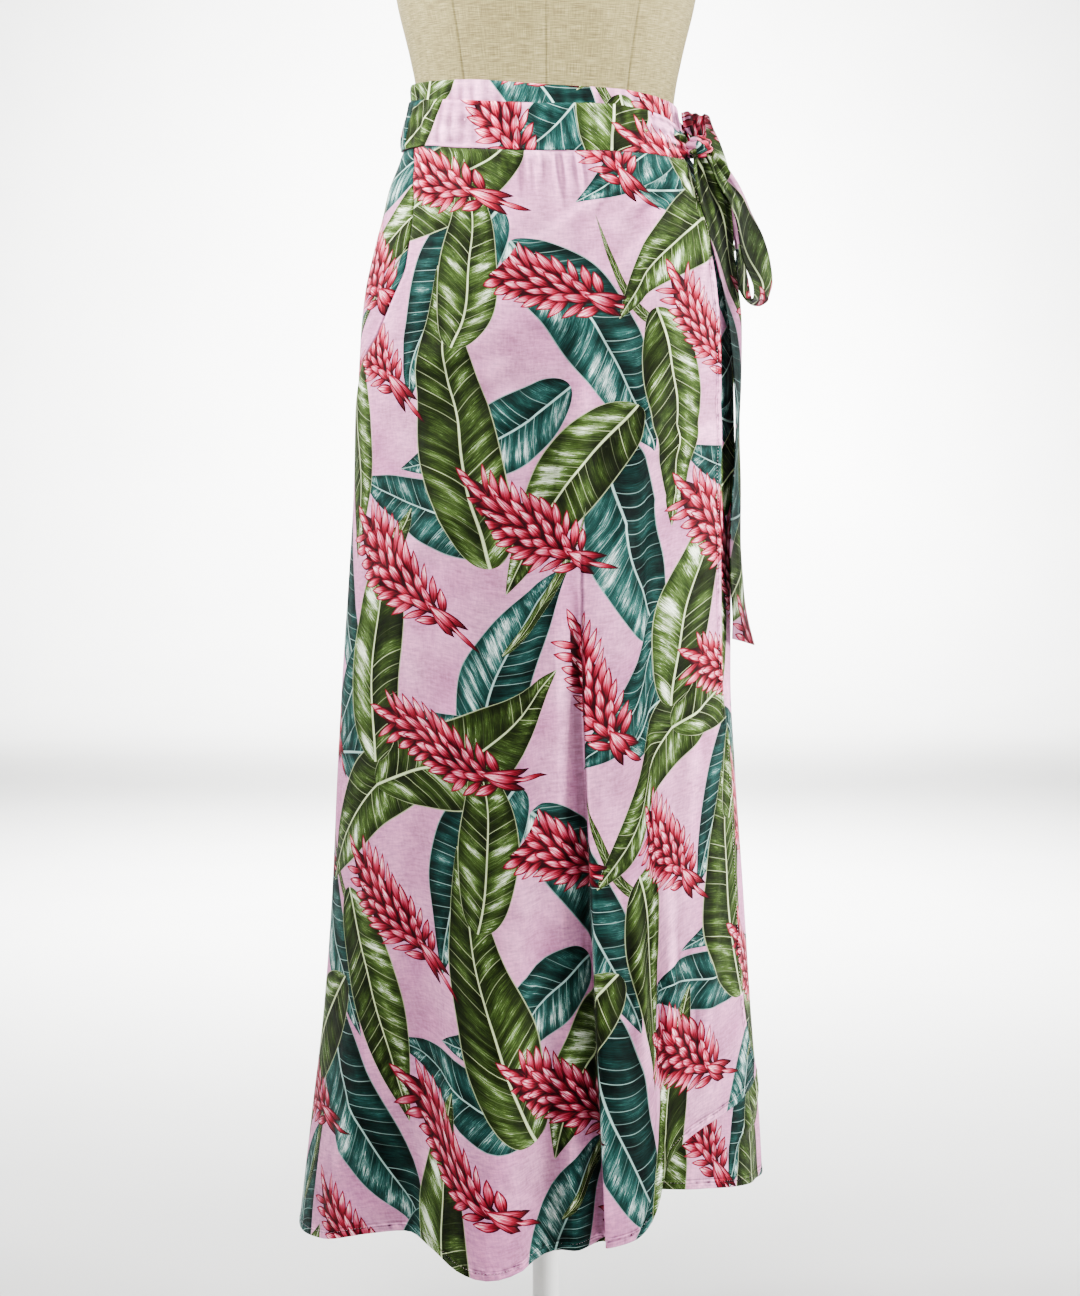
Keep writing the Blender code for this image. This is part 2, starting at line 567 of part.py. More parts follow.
def body_point(angle, height, body_at):
    half, front, back = (column(height) for column in body_at)
    turn = radians(angle)
    deep = front if cos(turn) >= 0 else back
    lift = 0.0
    for side in (-BUST_ANGLE, BUST_ANGLE):
        reach = ((angle + 180) % 360 - 180 - side) / BUST_SPREAD
        lift += BUST_LIFT * exp(-reach**2 - ((height - BUST_HEIGHT) / BUST_TALL) ** 2)
    x = (half + lift) * sin(turn)
    if height > BUST_HEIGHT:
        x = min(max(x, -ARM_PLATE_X), ARM_PLATE_X)
    return Vector((x, -(deep + lift) * cos(turn), height))


def make_form_torso(material, parts):
    """The linen-covered body, lofted through its sections and closed at both ends."""
    body_at = [curve_through(BODY_SECTIONS, "height", column) for column in ("half", "front", "back")]
    heights = [section.height for section in BODY_SECTIONS]
    loft = bmesh.new()
    rings = []
    for height in heights:
        ring = [loft.verts.new(body_point(360 * i / BODY_STEPS, height, body_at)) for i in range(BODY_STEPS)]
        rings.append(ring)
    for lower, upper in zip(rings, rings[1:]):
        for i in range(BODY_STEPS):
            j = (i + 1) % BODY_STEPS
            loft.faces.new((lower[i], lower[j], upper[j], upper[i]))
    loft.faces.new(reversed(rings[0]))
    loft.faces.new(rings[-1])
    mesh = bpy.data.meshes.new("form_torso")
    loft.to_mesh(mesh)
    loft.free()
    return add_object("form_torso", mesh, material, parts)


def make_form_hardware(parts, paint, wood):
    cap_low = FORM_NECK_TOP + SEAM_GAP
    cap_profile = [(radius, cap_low + height) for radius, height in NECK_CAP_PROFILE]
    turned_piece("neck_cap", cap_profile, wood, parts)
    plate_top = FORM_BOTTOM - SEAM_GAP
    plate_low = plate_top - PLATE_THICK
    socket_low = plate_low - SOCKET_LENGTH
    turned_piece("form_plate", (
        (0.0, plate_top), (PLATE_RADIUS, plate_top), (PLATE_RADIUS, plate_low),
        (SOCKET_RADIUS, plate_low), (SOCKET_RADIUS, socket_low), (0.0, socket_low)), paint, parts)
    pole_top = socket_low - SEAM_GAP
    pole_low = BASE_HUB_HEIGHT + SEAM_GAP
    turned_piece("stand_pole", (
        (0.0, pole_top), (POLE_RADIUS, pole_top), (POLE_RADIUS, pole_low), (0.0, pole_low)), paint, parts)
    turned_piece("stand_base", BASE_PROFILE, paint, parts)


def main():
    for old in list(bpy.data.objects):
        bpy.data.objects.remove(old, do_unlink=True)
    parts = bpy.data.collections.new("wrap_skirt_on_dress_form")
    bpy.context.scene.collection.children.link(parts)

    pink = make_material("printed_rayon_pink", PRINT_PINK)
    teal = make_material("printed_rayon_teal", PRINT_TEAL)
    green = make_material("printed_rayon_green", PRINT_GREEN)
    red = make_material("printed_rayon_red", PRINT_RED)
    linen = make_material("linen_cover", LINEN, 0.9)
    paint = make_material("white_powder_coat", WHITE_PAINT, 0.45)
    wood = make_material("maple_varnished", MAPLE, 0.4)

    cloth_piece("over_front", sum(OVER_ZONES), PANEL_ROWS, over_front_point, CLOTH_WALL, pink, parts)
    cloth_piece("under_front", UNDER_COLUMNS, PANEL_ROWS, under_front_point, CLOTH_WALL, green, parts)
    cloth_piece("back_panel", BACK_COLUMNS, PANEL_ROWS, back_panel_point, CLOTH_WALL, pink, parts)

    make_strip("waistband_under", UNDER_BAND, BAND_WALL, teal, parts, gap_at_end=True)
    make_strip("waistband_over", OVER_BAND, BAND_WALL, red, parts, gap_at_start=True, gap_at_end=True)
    make_strip("waistband_back", BACK_BAND, BAND_WALL, teal, parts, gap_at_start=True, gap_at_end=True)
    make_strip("tie_over", OVER_TIE, TIE_WALL, pink, parts, gap_at_start=True)
    make_strip("tie_round", ROUND_TIE, TIE_WALL, green, parts)

    make_knot(pink, parts)
    make_strap("loop_front", LOOP_FRONT, green, parts)
    make_strap("loop_back", LOOP_BACK, red, parts)
    make_strap("tail_long", TAIL_LONG, green, parts, slant=0.008)
    make_strap("tail_short", TAIL_SHORT, teal, parts, slant=-0.006)

    make_form_torso(linen, parts)
    make_form_hardware(parts, paint, wood)


main()
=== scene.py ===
# %% [markdown]
# # A wrap skirt on a dress form
# The skirt is cut from a light printed rayon: two front panels that cross, a back panel, a
# waistband and a tie that ends in a bow at the hip.  It hangs from the waist of a linen-covered
# dress form on a round stand.  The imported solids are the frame.  Each cloth solid is replaced by a
# thin sheet on the same form, because a sheet can carry creases, a turned hem and stitches.

import json
from bisect import bisect_right
from collections import namedtuple
from functools import partial
from math import cos, exp, hypot, pi, radians, sin, tanh

import bmesh
import bpy
import numpy as np
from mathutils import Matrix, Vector

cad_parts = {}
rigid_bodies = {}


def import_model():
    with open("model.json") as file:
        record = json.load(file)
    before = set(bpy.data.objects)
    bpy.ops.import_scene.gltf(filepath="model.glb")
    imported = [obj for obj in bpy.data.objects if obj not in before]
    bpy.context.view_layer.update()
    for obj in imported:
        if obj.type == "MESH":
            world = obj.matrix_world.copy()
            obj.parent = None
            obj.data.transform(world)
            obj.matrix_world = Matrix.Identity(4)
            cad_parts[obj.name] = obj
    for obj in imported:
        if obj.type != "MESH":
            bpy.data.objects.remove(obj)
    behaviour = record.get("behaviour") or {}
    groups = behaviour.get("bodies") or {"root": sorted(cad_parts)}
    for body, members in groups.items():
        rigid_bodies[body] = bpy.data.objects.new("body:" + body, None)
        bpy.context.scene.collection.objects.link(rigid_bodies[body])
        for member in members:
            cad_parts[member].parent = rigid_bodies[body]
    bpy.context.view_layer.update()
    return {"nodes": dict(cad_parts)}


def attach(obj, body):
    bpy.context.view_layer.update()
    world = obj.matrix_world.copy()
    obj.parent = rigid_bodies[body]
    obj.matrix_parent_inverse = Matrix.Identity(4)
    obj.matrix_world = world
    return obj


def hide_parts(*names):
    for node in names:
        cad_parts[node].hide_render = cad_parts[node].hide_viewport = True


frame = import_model()
bpy.ops.object.select_all(action="DESELECT")
scene = bpy.context.scene
MM = 0.001
print("solids in the frame:", sorted(frame["nodes"]))

# %% [markdown]
# ## Camera
# A product picture of a skirt is taken from a few metres away with a longer lens, so that the hem
# isn't seen from above.  The camera stands a little above hip height and looks slightly down.

# %% Camera
camera = bpy.data.objects.new("camera", bpy.data.cameras.new("camera"))
scene.collection.objects.link(camera)
camera.location = (-0.0055, -2.5, 0.89)
camera.rotation_euler = (radians(90 - 4.6), 0, 0)
camera.data.sensor_fit = "VERTICAL"
camera.data.sensor_height = 36
camera.data.lens = 75
scene.camera = camera


# %% [markdown]
# ## Nodes and colours
# Colours are written as the sRGB hex values a printer would use, and turned to linear light once.
# One function adds any shader node: its kind, its inputs in order, and its settings by name.  A new
# material comes with that function already tied to its own tree, and with its main shader.

# %% Colour and node helpers
def linear(hex_color):
    parts = [int(hex_color[i:i + 2], 16) / 255 for i in (1, 3, 5)]
    light = [c / 12.92 if c <= 0.04045 else ((c + 0.055) / 1.055) ** 2.4 for c in parts]
    return (*light, 1.0)


def plug(socket, value):
    """Link a socket to another one, or give it a constant."""
    if isinstance(value, bpy.types.NodeSocket):
        socket.id_data.links.new(value, socket)
    elif value is not None:
        socket.default_value = value


def add_node(tree, kind, *inputs, out=0, steps=(), **settings):
    """Add one node, such as "Math ADD" or "TexNoise", and return one of its outputs, or all."""
    kind, _, operation = kind.partition(" ")
    node = tree.nodes.new("ShaderNode" + kind)
    if operation:
        node.operation = operation
    for number, (position, color) in enumerate(steps):
        ramp = node.color_ramp.elements
        step = ramp[number] if number < len(ramp) else ramp.new(position)
        step.position = position
        step.color = linear(color)
    for name, value in settings.items():
        setattr(node, name, value)
    for socket, value in zip(node.inputs, inputs):
        plug(socket, value)
    return node.outputs if out is None else node.outputs[out]


NO_SOCKETS = [None] * 5  # the Mix node's inputs between its factor and its two colours


def new_material(name):
    material = bpy.data.materials.new(name)
    material.use_nodes = True
    tree = material.node_tree
    return material, partial(add_node, tree), tree.nodes["Principled BSDF"]


def finish_shader(shader, **inputs):
    """Set or link the inputs of a material's shader by name, with _ for a space."""
    for name, value in inputs.items():
        plug(shader.inputs[name.replace("_", " ")], value)


# %% [markdown]
# ## Floor and light
# The studio is a pale floor that curves up into a pale wall, so that no horizon shows.  A sheet is
# bent: a plane is added, its far edge is extruded up in steps, and it is shaded smooth.

# %% Floor
FLOOR_SIZE = 14
FLOOR_SHIFT = -1.5
FAR_EDGE = FLOOR_SHIFT + FLOOR_SIZE / 2
SWEEP_RADIUS = 1.6
SWEEP_STEPS = 10
WALL_TALL = 5
bpy.ops.mesh.primitive_plane_add(size=FLOOR_SIZE, location=(0, FLOOR_SHIFT, 0))
floor = bpy.context.object
floor.name = "studio_floor"
bpy.ops.object.transform_apply(location=True, scale=True)
bpy.ops.object.mode_set(mode="EDIT")
sweep = bmesh.from_edit_mesh(floor.data)
for edge in sweep.edges:
    edge.select = all(vert.co.y > FAR_EDGE - 0.1 for vert in edge.verts)
for vert in sweep.verts:
    vert.select = vert.co.y > FAR_EDGE - 0.1
bmesh.update_edit_mesh(floor.data)
for step in range(SWEEP_STEPS):
    a0, a1 = (radians(90 * k / SWEEP_STEPS) for k in (step, step + 1))
    bpy.ops.mesh.extrude_region_move(TRANSFORM_OT_translate={"value": (
        0, SWEEP_RADIUS * (sin(a1) - sin(a0)), SWEEP_RADIUS * (cos(a0) - cos(a1)))})
bpy.ops.mesh.extrude_region_move(TRANSFORM_OT_translate={"value": (0, 0, WALL_TALL)})
bpy.ops.object.mode_set(mode="OBJECT")
floor.data.shade_smooth()

paper, add, shader = new_material("studio_paper")
tone = add("TexNoise", add("TexCoord", out=3), None, 3.0, 2.0, 0.5)
paper_color = add("ValToRGB", tone, steps=((0.3, "#f4f4f3"), (0.7, "#f8f8f7")))
finish_shader(shader, Base_Color=paper_color, Roughness=0.9)
floor.data.materials.append(paper)

# %% [markdown]
# Six softboxes light the studio.  Each is one row: where it stands, what it aims at, its size, its
# power in watts and its spread in degrees.  The narrow ones at the sides rake the folds, and the
# two behind keep the wall and the floor white without flattening the skirt.

# %% Light
world = bpy.data.worlds.new("studio")
world.use_nodes = True
finish_shader(world.node_tree.nodes["Background"], Color=linear("#f6f7fa"), Strength=0.02)
scene.world = world
Softbox = namedtuple("Softbox", "name place aim size power spread")
SOFTBOXES = (
    Softbox("left", (-3.0, -0.5, 2.6), (0.0, 0.0, 1.70), 1.0, 58, 46),
    Softbox("top", (-0.2, -0.8, 3.6), (0.0, -0.1, 1.1), 1.0, 8, 40),
    Softbox("right", (3.0, -0.6, 1.3), (0.0, 0.0, 0.95), 1.0, 33, 44),
    Softbox("front", (-0.3, -3.4, 2.2), (0.0, 0.0, 1.68), 0.7, 22, 15),
    Softbox("wall", (0.0, 3.6, 3.0), (0.0, 6.6, 1.2), 1.6, 430, 88),
    Softbox("far_floor", (0.0, 2.8, 2.8), (0.0, 2.6, 0.0), 2.0, 190, 74),
)
for box in SOFTBOXES:
    lamp = bpy.data.objects.new(box.name, bpy.data.lights.new(box.name, "AREA"))
    scene.collection.objects.link(lamp)
    lamp.location = box.place
    lamp.rotation_euler = (Vector(box.aim) - Vector(box.place)).to_track_quat("-Z", "Y").to_euler()
    lamp.data.shape = "DISK"
    lamp.data.size = box.size
    lamp.data.energy = box.power
    lamp.data.spread = radians(box.spread)
    lamp.visible_camera = False

# %% [markdown]
# ## The skirt's form
# The skirt is described by its half widths and depths at eighteen heights, from hem to waist, with
# soft folds on top.  These are the values that the solids were made from, so the sheets made here
# lie where the solids are.  An angle is in degrees round the body, 0 in front and 90 at the
# wearer's left.  Sizes are in millimetres in the tables that read_rows reads, and in metres
# everywhere else.  A band's last column is how far it lies outside the skirt's form.

# %% The form's tables
NOT_SIZES = {"angle", "turn", "spread", "lean", "bend"}


def read_rows(kind, text):
    """The rows of a table, with its sizes turned from millimetres into metres.

    Commas and line ends part the rows, and a # starts a comment."""
    rows = ",".join(line.partition("#")[0] for line in text.splitlines()).split(",")
    return [kind(*(float(word) / (1 if name in NOT_SIZES else 1000)
                   for name, word in zip(kind._fields, row.split())))
            for row in rows if row.strip()]


CLOTH_WALL = 0.7 * MM
BAND_WALL = 1.4 * MM
TIE_WALL = 1.2 * MM
SEAM_GAP = 0.3 * MM
LAYER_LIFT = 2.3 * MM
LIFT_BLEND = 11.0
HEM_LEVEL = 0.150
LEFT_SEAM_TOP = 1.1444
BACK_SEAM_ANGLE = 92.0
COVERED_SETBACK = 1.2 * MM
FOLD_POWER = 1.25
FOLD_OVERSHOOT = 1.1
SETTLING_STEPS = 6

Section = namedtuple("Section", "height left right front back")
SKIRT_SECTIONS = read_rows(Section, """
    150 230 206 190 200, 243 219 201 182 194, 357 205.5 191.6 171 184, 471 197 184.4 160 174
    584 191.5 176.2 150 166, 668 186.5 171.5 142 160, 752 180.7 171.4 135 155
    835 175.5 172.7 128 149, 918 173.3 172.6 123 143, 973 170.5 171.8 119 138
    1014 166.4 168.2 115 132, 1055 157.5 160.7 109 122, 1083 150 153 104 113, 1110 143.5 143 98 103
    1140 132.2 129 92 92, 1164 128.1 122.5 88 88, 1190 123.6 119 86 86, 1210 124.5 120 87 87
""")
Fold = namedtuple("Fold", "angle spread depth top lean")
OVER_FOLDS = read_rows(Fold, """
    -38 10 -26 660 4, -13 8 22 600 2, 3 7 -24 700 0, 8 2.2 8 380 0, 22 5 4 600 -3
""")
BACK_FOLDS = read_rows(Fold, """
    118 9 -14 660 2, 138 9 16 740 0, 160 9 -18 620 -2, 180 8 18 700 1, 201 9 -20 660 2
    224 10 18 760 -3, 246 8 -12 600 0
""")
UNDER_FOLDS = read_rows(Fold, "46 7 -7 600 0, 76 6 -4 500 0")
Hollow = namedtuple("Hollow", "start full_from full_to end depth top")
UNDER_HOLLOW = Hollow(-78, -52, 17, 46, -0.046, 0.86)
COVER_END = (50.0, 60.0)
COVER_BLEND = 0.10
Tuck = namedtuple("Tuck", "angle spread depth crest pull top lean")
MAIN_TUCK = Tuck(16.3, 7.0, 0.028, 0.005, 0.0135, 0.80, -5.0)
TUCK_POWER = 0.95
Bump = namedtuple("Bump", "at wide")
TUCK_TROUGH = Bump(-0.60, 0.50)
TUCK_CREST = Bump(0.45, 0.55)
TUCK_PULL_IN = Bump(-0.55, 0.45)
TUCK_PULL_OUT = Bump(0.35, 0.45)

Level = namedtuple("Level", "angle height")
OVER_HEM = read_rows(Level, """
    -100 150, -81 150, -61 157, -46 171, -35 176, -27 170, -19 158, -11 154, -6 157, -1 168, 8 171
    15 175, 22 182, 27 196, 29.5 215, 31.5 240, 35 254, 41 266, 52 276, 61 282, 70 289, 83 297
""")
UNDER_HEM = read_rows(Level, "-80 190, 0 200, 31 216, 55 208, 68 202, 92 194")
BACK_HEM = read_rows(Level, "92 194, 125 176, 180 160, 225 152, 255 150, 280 150")
Edge = namedtuple("Edge", "height angle")
FREE_EDGE = read_rows(Edge, """
    290 83, 310 77.5, 335 72.5, 370 69.6, 460 70, 560 71.5, 600 71.5, 650 68, 780 65.6, 940 64.8
    1010 64.8, 1070 67, 1110 70, 1140 71
""")
LEFT_SEAM = read_rows(Edge, """
    150 -96, 900 -95, 945 -82, 976 -64, 1007 -56, 1037 -51, 1090 -53.5, 1124 -60, 1150 -68
    1200 -73
""")
UNDER_EDGE = read_rows(Edge, "150 -58, 600 -46, 900 -36, 1150 -31")

Strip = namedtuple("Strip", "angle top bottom lift")
UNDER_BAND = read_rows(Strip, """
    -106 1202 1154 0, -75 1203 1154 0, -35 1201 1153 0, 0 1195 1150 0, 38 1192 1146 0
    66 1187 1141 0, 92 1183 1138 0
""")
OVER_BAND = read_rows(Strip, """
    -73 1188 1144.4 2.3, -55 1186 1144.4 2.3, -35 1183 1140.5 2.3, 0 1178.5 1136.5 2.3
    24 1179 1137 2.3, 43 1176.5 1136.5 2.3, 56 1172.5 1135 2.3, 66 1167.5 1134.5 2.3
""")
BACK_BAND = read_rows(Strip, """
    92 1183 1138 0, 180 1186 1142 0, 232 1188 1144 0, 248 1188 1144.4 2.3, 287 1188 1144.4 2.3
""")
OVER_TIE = read_rows(Strip, "66 1167.5 1134.5 2.3, 70 1164 1135.5 3.6, 75.8 1156 1140 6.8")
ROUND_TIE = read_rows(Strip, """
    83.5 1156 1140 8.5, 90 1164 1138.5 6.6, 104 1176 1140 3.2, 130 1179 1143 2, 180 1181 1146 2
    232 1182 1147 2, 248 1183 1148 4.3, 263 1183 1148 4.3
""")


# %% [markdown]
# Between the rows of a table the values follow a smooth curve that never overshoots.  A point of
# the cloth is then found from its angle round the body and its height, and moved outwards by the
# folds.

# %% Curves and the skirt's surface
def curve_through(rows, along, column):
    places = [getattr(row, along) for row in rows]
    values = [getattr(row, column) for row in rows]
    slopes = [(v1 - v0) / (p1 - p0)
              for p0, p1, v0, v1 in zip(places, places[1:], values, values[1:])]
    tangents = [slopes[0]]
    for before, after in zip(slopes, slopes[1:]):
        tangents.append(0.0 if before * after <= 0 else 2 * before * after / (before + after))
    tangents.append(slopes[-1])

    def value_at(place):
        place = min(max(place, places[0]), places[-1])
        i = min(bisect_right(places, place) - 1, len(places) - 2)
        step = places[i + 1] - places[i]
        t = (place - places[i]) / step
        start = (2 * t**3 - 3 * t**2 + 1) * values[i] + (t**3 - 2 * t**2 + t) * step * tangents[i]
        end = (3 * t**2 - 2 * t**3) * values[i + 1] + (t**3 - t**2) * step * tangents[i + 1]
        return start + end

    return value_at


def smoothstep(low, high, value):
    t = min(max((value - low) / (high - low), 0.0), 1.0)
    return t * t * (3 - 2 * t)


def mix(a, b, t):
    return a + (b - a) * t


def evenly(low, high, count, with_high=True):
    return np.linspace(low, high, count, endpoint=with_high).tolist()


left_at, right_at, front_at, back_at = (
    curve_through(SKIRT_SECTIONS, "height", name) for name in ("left", "right", "front", "back"))
free_edge_at, left_seam_at, under_edge_at = (
    curve_through(table, "height", "angle") for table in (FREE_EDGE, LEFT_SEAM, UNDER_EDGE))
over_hem_at, under_hem_at, back_hem_at = (
    curve_through(table, "angle", "height") for table in (OVER_HEM, UNDER_HEM, BACK_HEM))
over_band_bottom_at, under_band_bottom_at, back_band_bottom_at = (
    curve_through(table, "angle", "bottom") for table in (OVER_BAND, UNDER_BAND, BACK_BAND))


def growth(top, height, power=FOLD_POWER):
    return min(max((top - height) / (top - HEM_LEVEL), 0.0), FOLD_OVERSHOOT) ** power


def reach_at(angle, height):
    turn = radians(angle)
    across = right_at(height) if sin(turn) >= 0 else left_at(height)
    deep = front_at(height) if cos(turn) >= 0 else back_at(height)
    return turn, across, deep


def skirt_point(angle, height, lift=0.0, slide=0.0):
    turn, across, deep = reach_at(angle, height)
    along = Vector((across * cos(turn), deep * sin(turn), 0.0)).normalized()
    outward = Vector((along.y, -along.x, 0.0))
    return Vector((across * sin(turn), -deep * cos(turn), height)) + lift * outward + slide * along


def per_degree(angle, height):
    """Metres round the body for one degree."""
    turn, across, deep = reach_at(angle, height)
    return radians(hypot(across * cos(turn), deep * sin(turn)))


def fold_lift(folds, angle, height):
    total = 0.0
    for fold in folds:
        grown = growth(fold.top, height)
        centre = fold.angle + fold.lean * (1 - grown)
        total += fold.depth * grown * exp(-((angle - centre) / fold.spread) ** 2)
    return total


def tuck_centre(height):
    return MAIN_TUCK.angle + MAIN_TUCK.lean * (1 - growth(MAIN_TUCK.top, height))


def bump_at(place, bump):
    return exp(-((place - bump.at) / bump.wide) ** 2)


def tuck_shift(angle, height):
    grown = growth(MAIN_TUCK.top, height, TUCK_POWER)
    place = (angle - tuck_centre(height)) / MAIN_TUCK.spread
    lift = (MAIN_TUCK.crest * bump_at(place, TUCK_CREST)
            - MAIN_TUCK.depth * bump_at(place, TUCK_TROUGH))
    slide = MAIN_TUCK.pull * (bump_at(place, TUCK_PULL_IN) - bump_at(place, TUCK_PULL_OUT))
    return grown * lift, grown * slide


def hollow_lift(hollow, angle, height):
    rise = smoothstep(hollow.start, hollow.full_from, angle)
    fall = 1 - smoothstep(hollow.full_to, hollow.end, angle)
    return hollow.depth * growth(hollow.top, height, 1.0) * rise * fall


def settled_angle(angle_at, height_at, down):
    """The angle of an edge where a row of the cloth meets it, found in a few steps."""
    angle = angle_at(mix(LEFT_SEAM_TOP, HEM_LEVEL, down))
    for _ in range(SETTLING_STEPS):
        angle = angle_at(height_at(angle, down))
    return angle


def over_height(angle, down):
    return mix(over_band_bottom_at(angle) - SEAM_GAP, over_hem_at(angle), down)


def under_height(angle, down):
    joined = smoothstep(OVER_BAND[-1].angle, BACK_SEAM_ANGLE, angle)
    top = mix(under_band_bottom_at(angle), back_band_bottom_at(BACK_SEAM_ANGLE), joined)
    return mix(top - SEAM_GAP, under_hem_at(angle), down)


def back_height(angle, down):
    return mix(back_band_bottom_at(angle) - SEAM_GAP, back_hem_at(angle), down)


def left_seam_height(down):
    return mix(LEFT_SEAM_TOP - SEAM_GAP, HEM_LEVEL, down)


def height_by_seam(height, down, from_seam):
    return mix(left_seam_height(down), height, smoothstep(0.0, LIFT_BLEND, from_seam))


# %% [markdown]
# ## Small creases
# Cloth that has been folded, sewn and tied is never smooth.  Each crease is one row of a table: a
# long soft bump, placed by angle and height, turned, and given a length, a width and a depth.  They
# are uneven on purpose: drag lines run from the knot, short gathers sit under the waistband, and
# shallow dents lie on the hip.  A crease may rise freely, but how deep it may sink is limited, so
# that the outer panel stays clear of the inner one.

# %% Creases
Crease = namedtuple("Crease", "angle height turn long wide depth")
OVER_CREASES = read_rows(Crease, """
    # drag lines from the knot
    57 1113 28 34 4 1.6, 50 1104 22 40 5 -1.8, 44 1096 34 34 5.5 1.7, 58 1088 46 30 5 -1.4
    36 1112 16 30 4.5 1.2, 62 1060 66 36 6 1.6, 28 1100 34 44 7 -1.5, 16 1098 40 40 7 1.4
    -24 1098 -38 40 7.5 1.5, -34 1086 -46 44 8 -1.5, 34 1066 44 50 9 2, -46 1100 -60 40 6 1.4
    # the first slack of the deep fold
    -13 900 92 150 15 1.6, 9 880 86 150 10 2.4, -34 850 100 130 15 1.8, 34 930 78 110 12 1.6
    # gathers under the waistband
    -16 1127 86 16 3.2 1.1, -9 1122 93 20 3.6 -1.1, -3 1126 88 18 3.2 1.2, 5 1121 95 22 3.8 -1.2
    12 1124 92 18 3.4 1.1, 22 1120 84 22 4 -1, -30 1122 97 20 3.8 1, -40 1119 92 22 4.2 -1
    # dents on the hip and the thigh
    46 905 12 40 9 -2, 40 882 6 44 10 1.8, 52 858 -8 36 9 -1.6, -30 960 24 60 13 1.6
    -16 925 30 70 14 -1.8, 12 985 -14 50 11 1.4, -40 790 40 70 12 1.8, -6 800 74 90 11 -1.6
    33 740 100 80 10 -1.8, -28 620 62 80 13 2, 48 610 84 90 11 1.8, -50 520 70 90 13 -1.8
    # long wrinkles above the hem
    26 400 92 90 6.5 2.6, 30 380 96 80 6 -2.4, 35 420 88 90 7 2.2, 42 370 94 70 8 -2.2
    50 400 82 80 9 2, -22 300 96 70 9 2.2, -30 270 84 60 9 -2, -55 260 80 60 10 2.2
    -4 330 88 70 8 -2, -68 330 86 80 11 -2
""")
UNDER_CREASES = read_rows(Crease, """
    76 1080 110 40 6 1.4, 84 1050 100 50 7 -1.4, 80 820 84 80 10 1.6, 84 560 92 90 11 -1.8
    70 260 30 50 9 2.2, 58 240 20 50 8 -2
""")
BACK_CREASES = read_rows(Crease, """
    104 1100 64 40 5 1.6, 112 1086 50 42 6 -1.6, 122 1110 80 26 4 1.2, 134 1104 92 24 4.2 -1.2
    150 1112 86 22 3.8 1.2, 166 1104 95 28 4.4 -1.3, 180 1110 90 24 4 1.3, 194 1106 86 26 4.4 -1.2
    208 1112 96 22 4 1.2, 222 1104 90 26 4.4 -1.2, 238 1110 84 24 4 1.1, 120 930 160 60 12 1.8
    150 900 168 70 13 -2, 196 905 12 70 13 -2, 228 940 22 60 12 1.8, 172 860 4 80 12 1.8
    128 640 84 90 12 -2, 168 560 94 100 13 2, 212 600 86 90 12 2, 240 440 92 80 12 -2
    112 330 96 70 10 2, 188 300 86 70 10 -2
""")
CREASE_STRENGTH = 2.1
DEEPEST_CREASE = 1.3 * MM
CREASE_REACH = 3.0  # in lengths of the crease, beyond which it is left out
METRES_PER_DEGREE = 0.0026


def crease_lift(creases, angle, height):
    total = 0.0
    for crease in creases:
        x = (angle - crease.angle) * METRES_PER_DEGREE
        z = height - crease.height
        if abs(x) + abs(z) > CREASE_REACH * crease.long:
            continue
        turn = radians(crease.turn)
        along = (x * cos(turn) + z * sin(turn)) / crease.long
        across = (-x * sin(turn) + z * cos(turn)) / crease.wide
        total += crease.depth * exp(-along**2 - across**2)
    total *= CREASE_STRENGTH
    return total if total > 0 else -DEEPEST_CREASE * tanh(-total / DEEPEST_CREASE)


STITCH_INSET = 5.8 * MM
HEM_RAISED, HEM_SUNK, HEM_ROLLED = 0.50 * MM, 0.60 * MM, 0.30 * MM
HEM_INNER, HEM_OUTER = 6.6 * MM, 8.0 * MM
STITCH_DENT_WIDE, ROLL_WIDE = 0.9 * MM, 1.0 * MM


def turned_edge(inset):
    """The profile of a narrow hem: raised by its extra layers, and sunk along its stitches."""
    raised = HEM_RAISED * (1 - smoothstep(HEM_INNER, HEM_OUTER, inset))
    sunk = HEM_SUNK * exp(-((inset - STITCH_INSET) / STITCH_DENT_WIDE) ** 2)
    return raised - sunk - HEM_ROLLED * exp(-(inset / ROLL_WIDE) ** 2)


def hem_stretch(angle, height, hem_at):
    """How much farther it is down to a sloping hem than at right angles to it."""
    return hypot(1.0, (hem_at(angle + 0.5) - hem_at(angle - 0.5)) / per_degree(angle, height))


def hem_inset(angle, height, hem_at):
    return (height - hem_at(angle)) / hem_stretch(angle, height, hem_at)


# %% [markdown]
# ## A sheet of cloth
# A sheet is a grid of points with faces between them.  It is made in mesh code, because each point
# has to lie on the skirt's form.  Its UV map is in metres, measured along the cloth, so that the
# print keeps its true size, runs with each panel's own grain and disappears into the folds as it
# does on real cloth.  A Solidify modifier then gives it a wall.
#
# Two values are kept at each point for the shader.  One says how near the point is to a stitched
# line, where the cloth puckers and the shader paints light and shade on the puckers.  The other says
# how sharply it is sunk: the shader paints shade into a crease, where its own walls keep the light
# out, and a painted highlight onto a ridge.

# %% Sheet builder
HIDDEN_FROM = 63  # the column of the outer panel that lies along its deep fold
SHARP_BEND = 42.0  # in 1/m, the bend of a fully sunk crease
FINEST_STEP = 0.5 * MM
PUCKER_WIDE = 3.2 * MM
pieces = {}


def finish_piece(piece, node=None):
    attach(piece, "root")
    if node:
        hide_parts(node)
        pieces[node] = piece


def bake(piece, kind, **settings):
    """Add a modifier with its settings, and apply it."""
    bpy.ops.object.select_all(action="DESELECT")
    piece.select_set(True)
    bpy.context.view_layer.objects.active = piece
    modifier = piece.modifiers.new(kind.lower(), kind)
    for name, value in settings.items():
        setattr(modifier, name, value)
    bpy.ops.object.modifier_apply(modifier=modifier.name)
    piece.select_set(False)


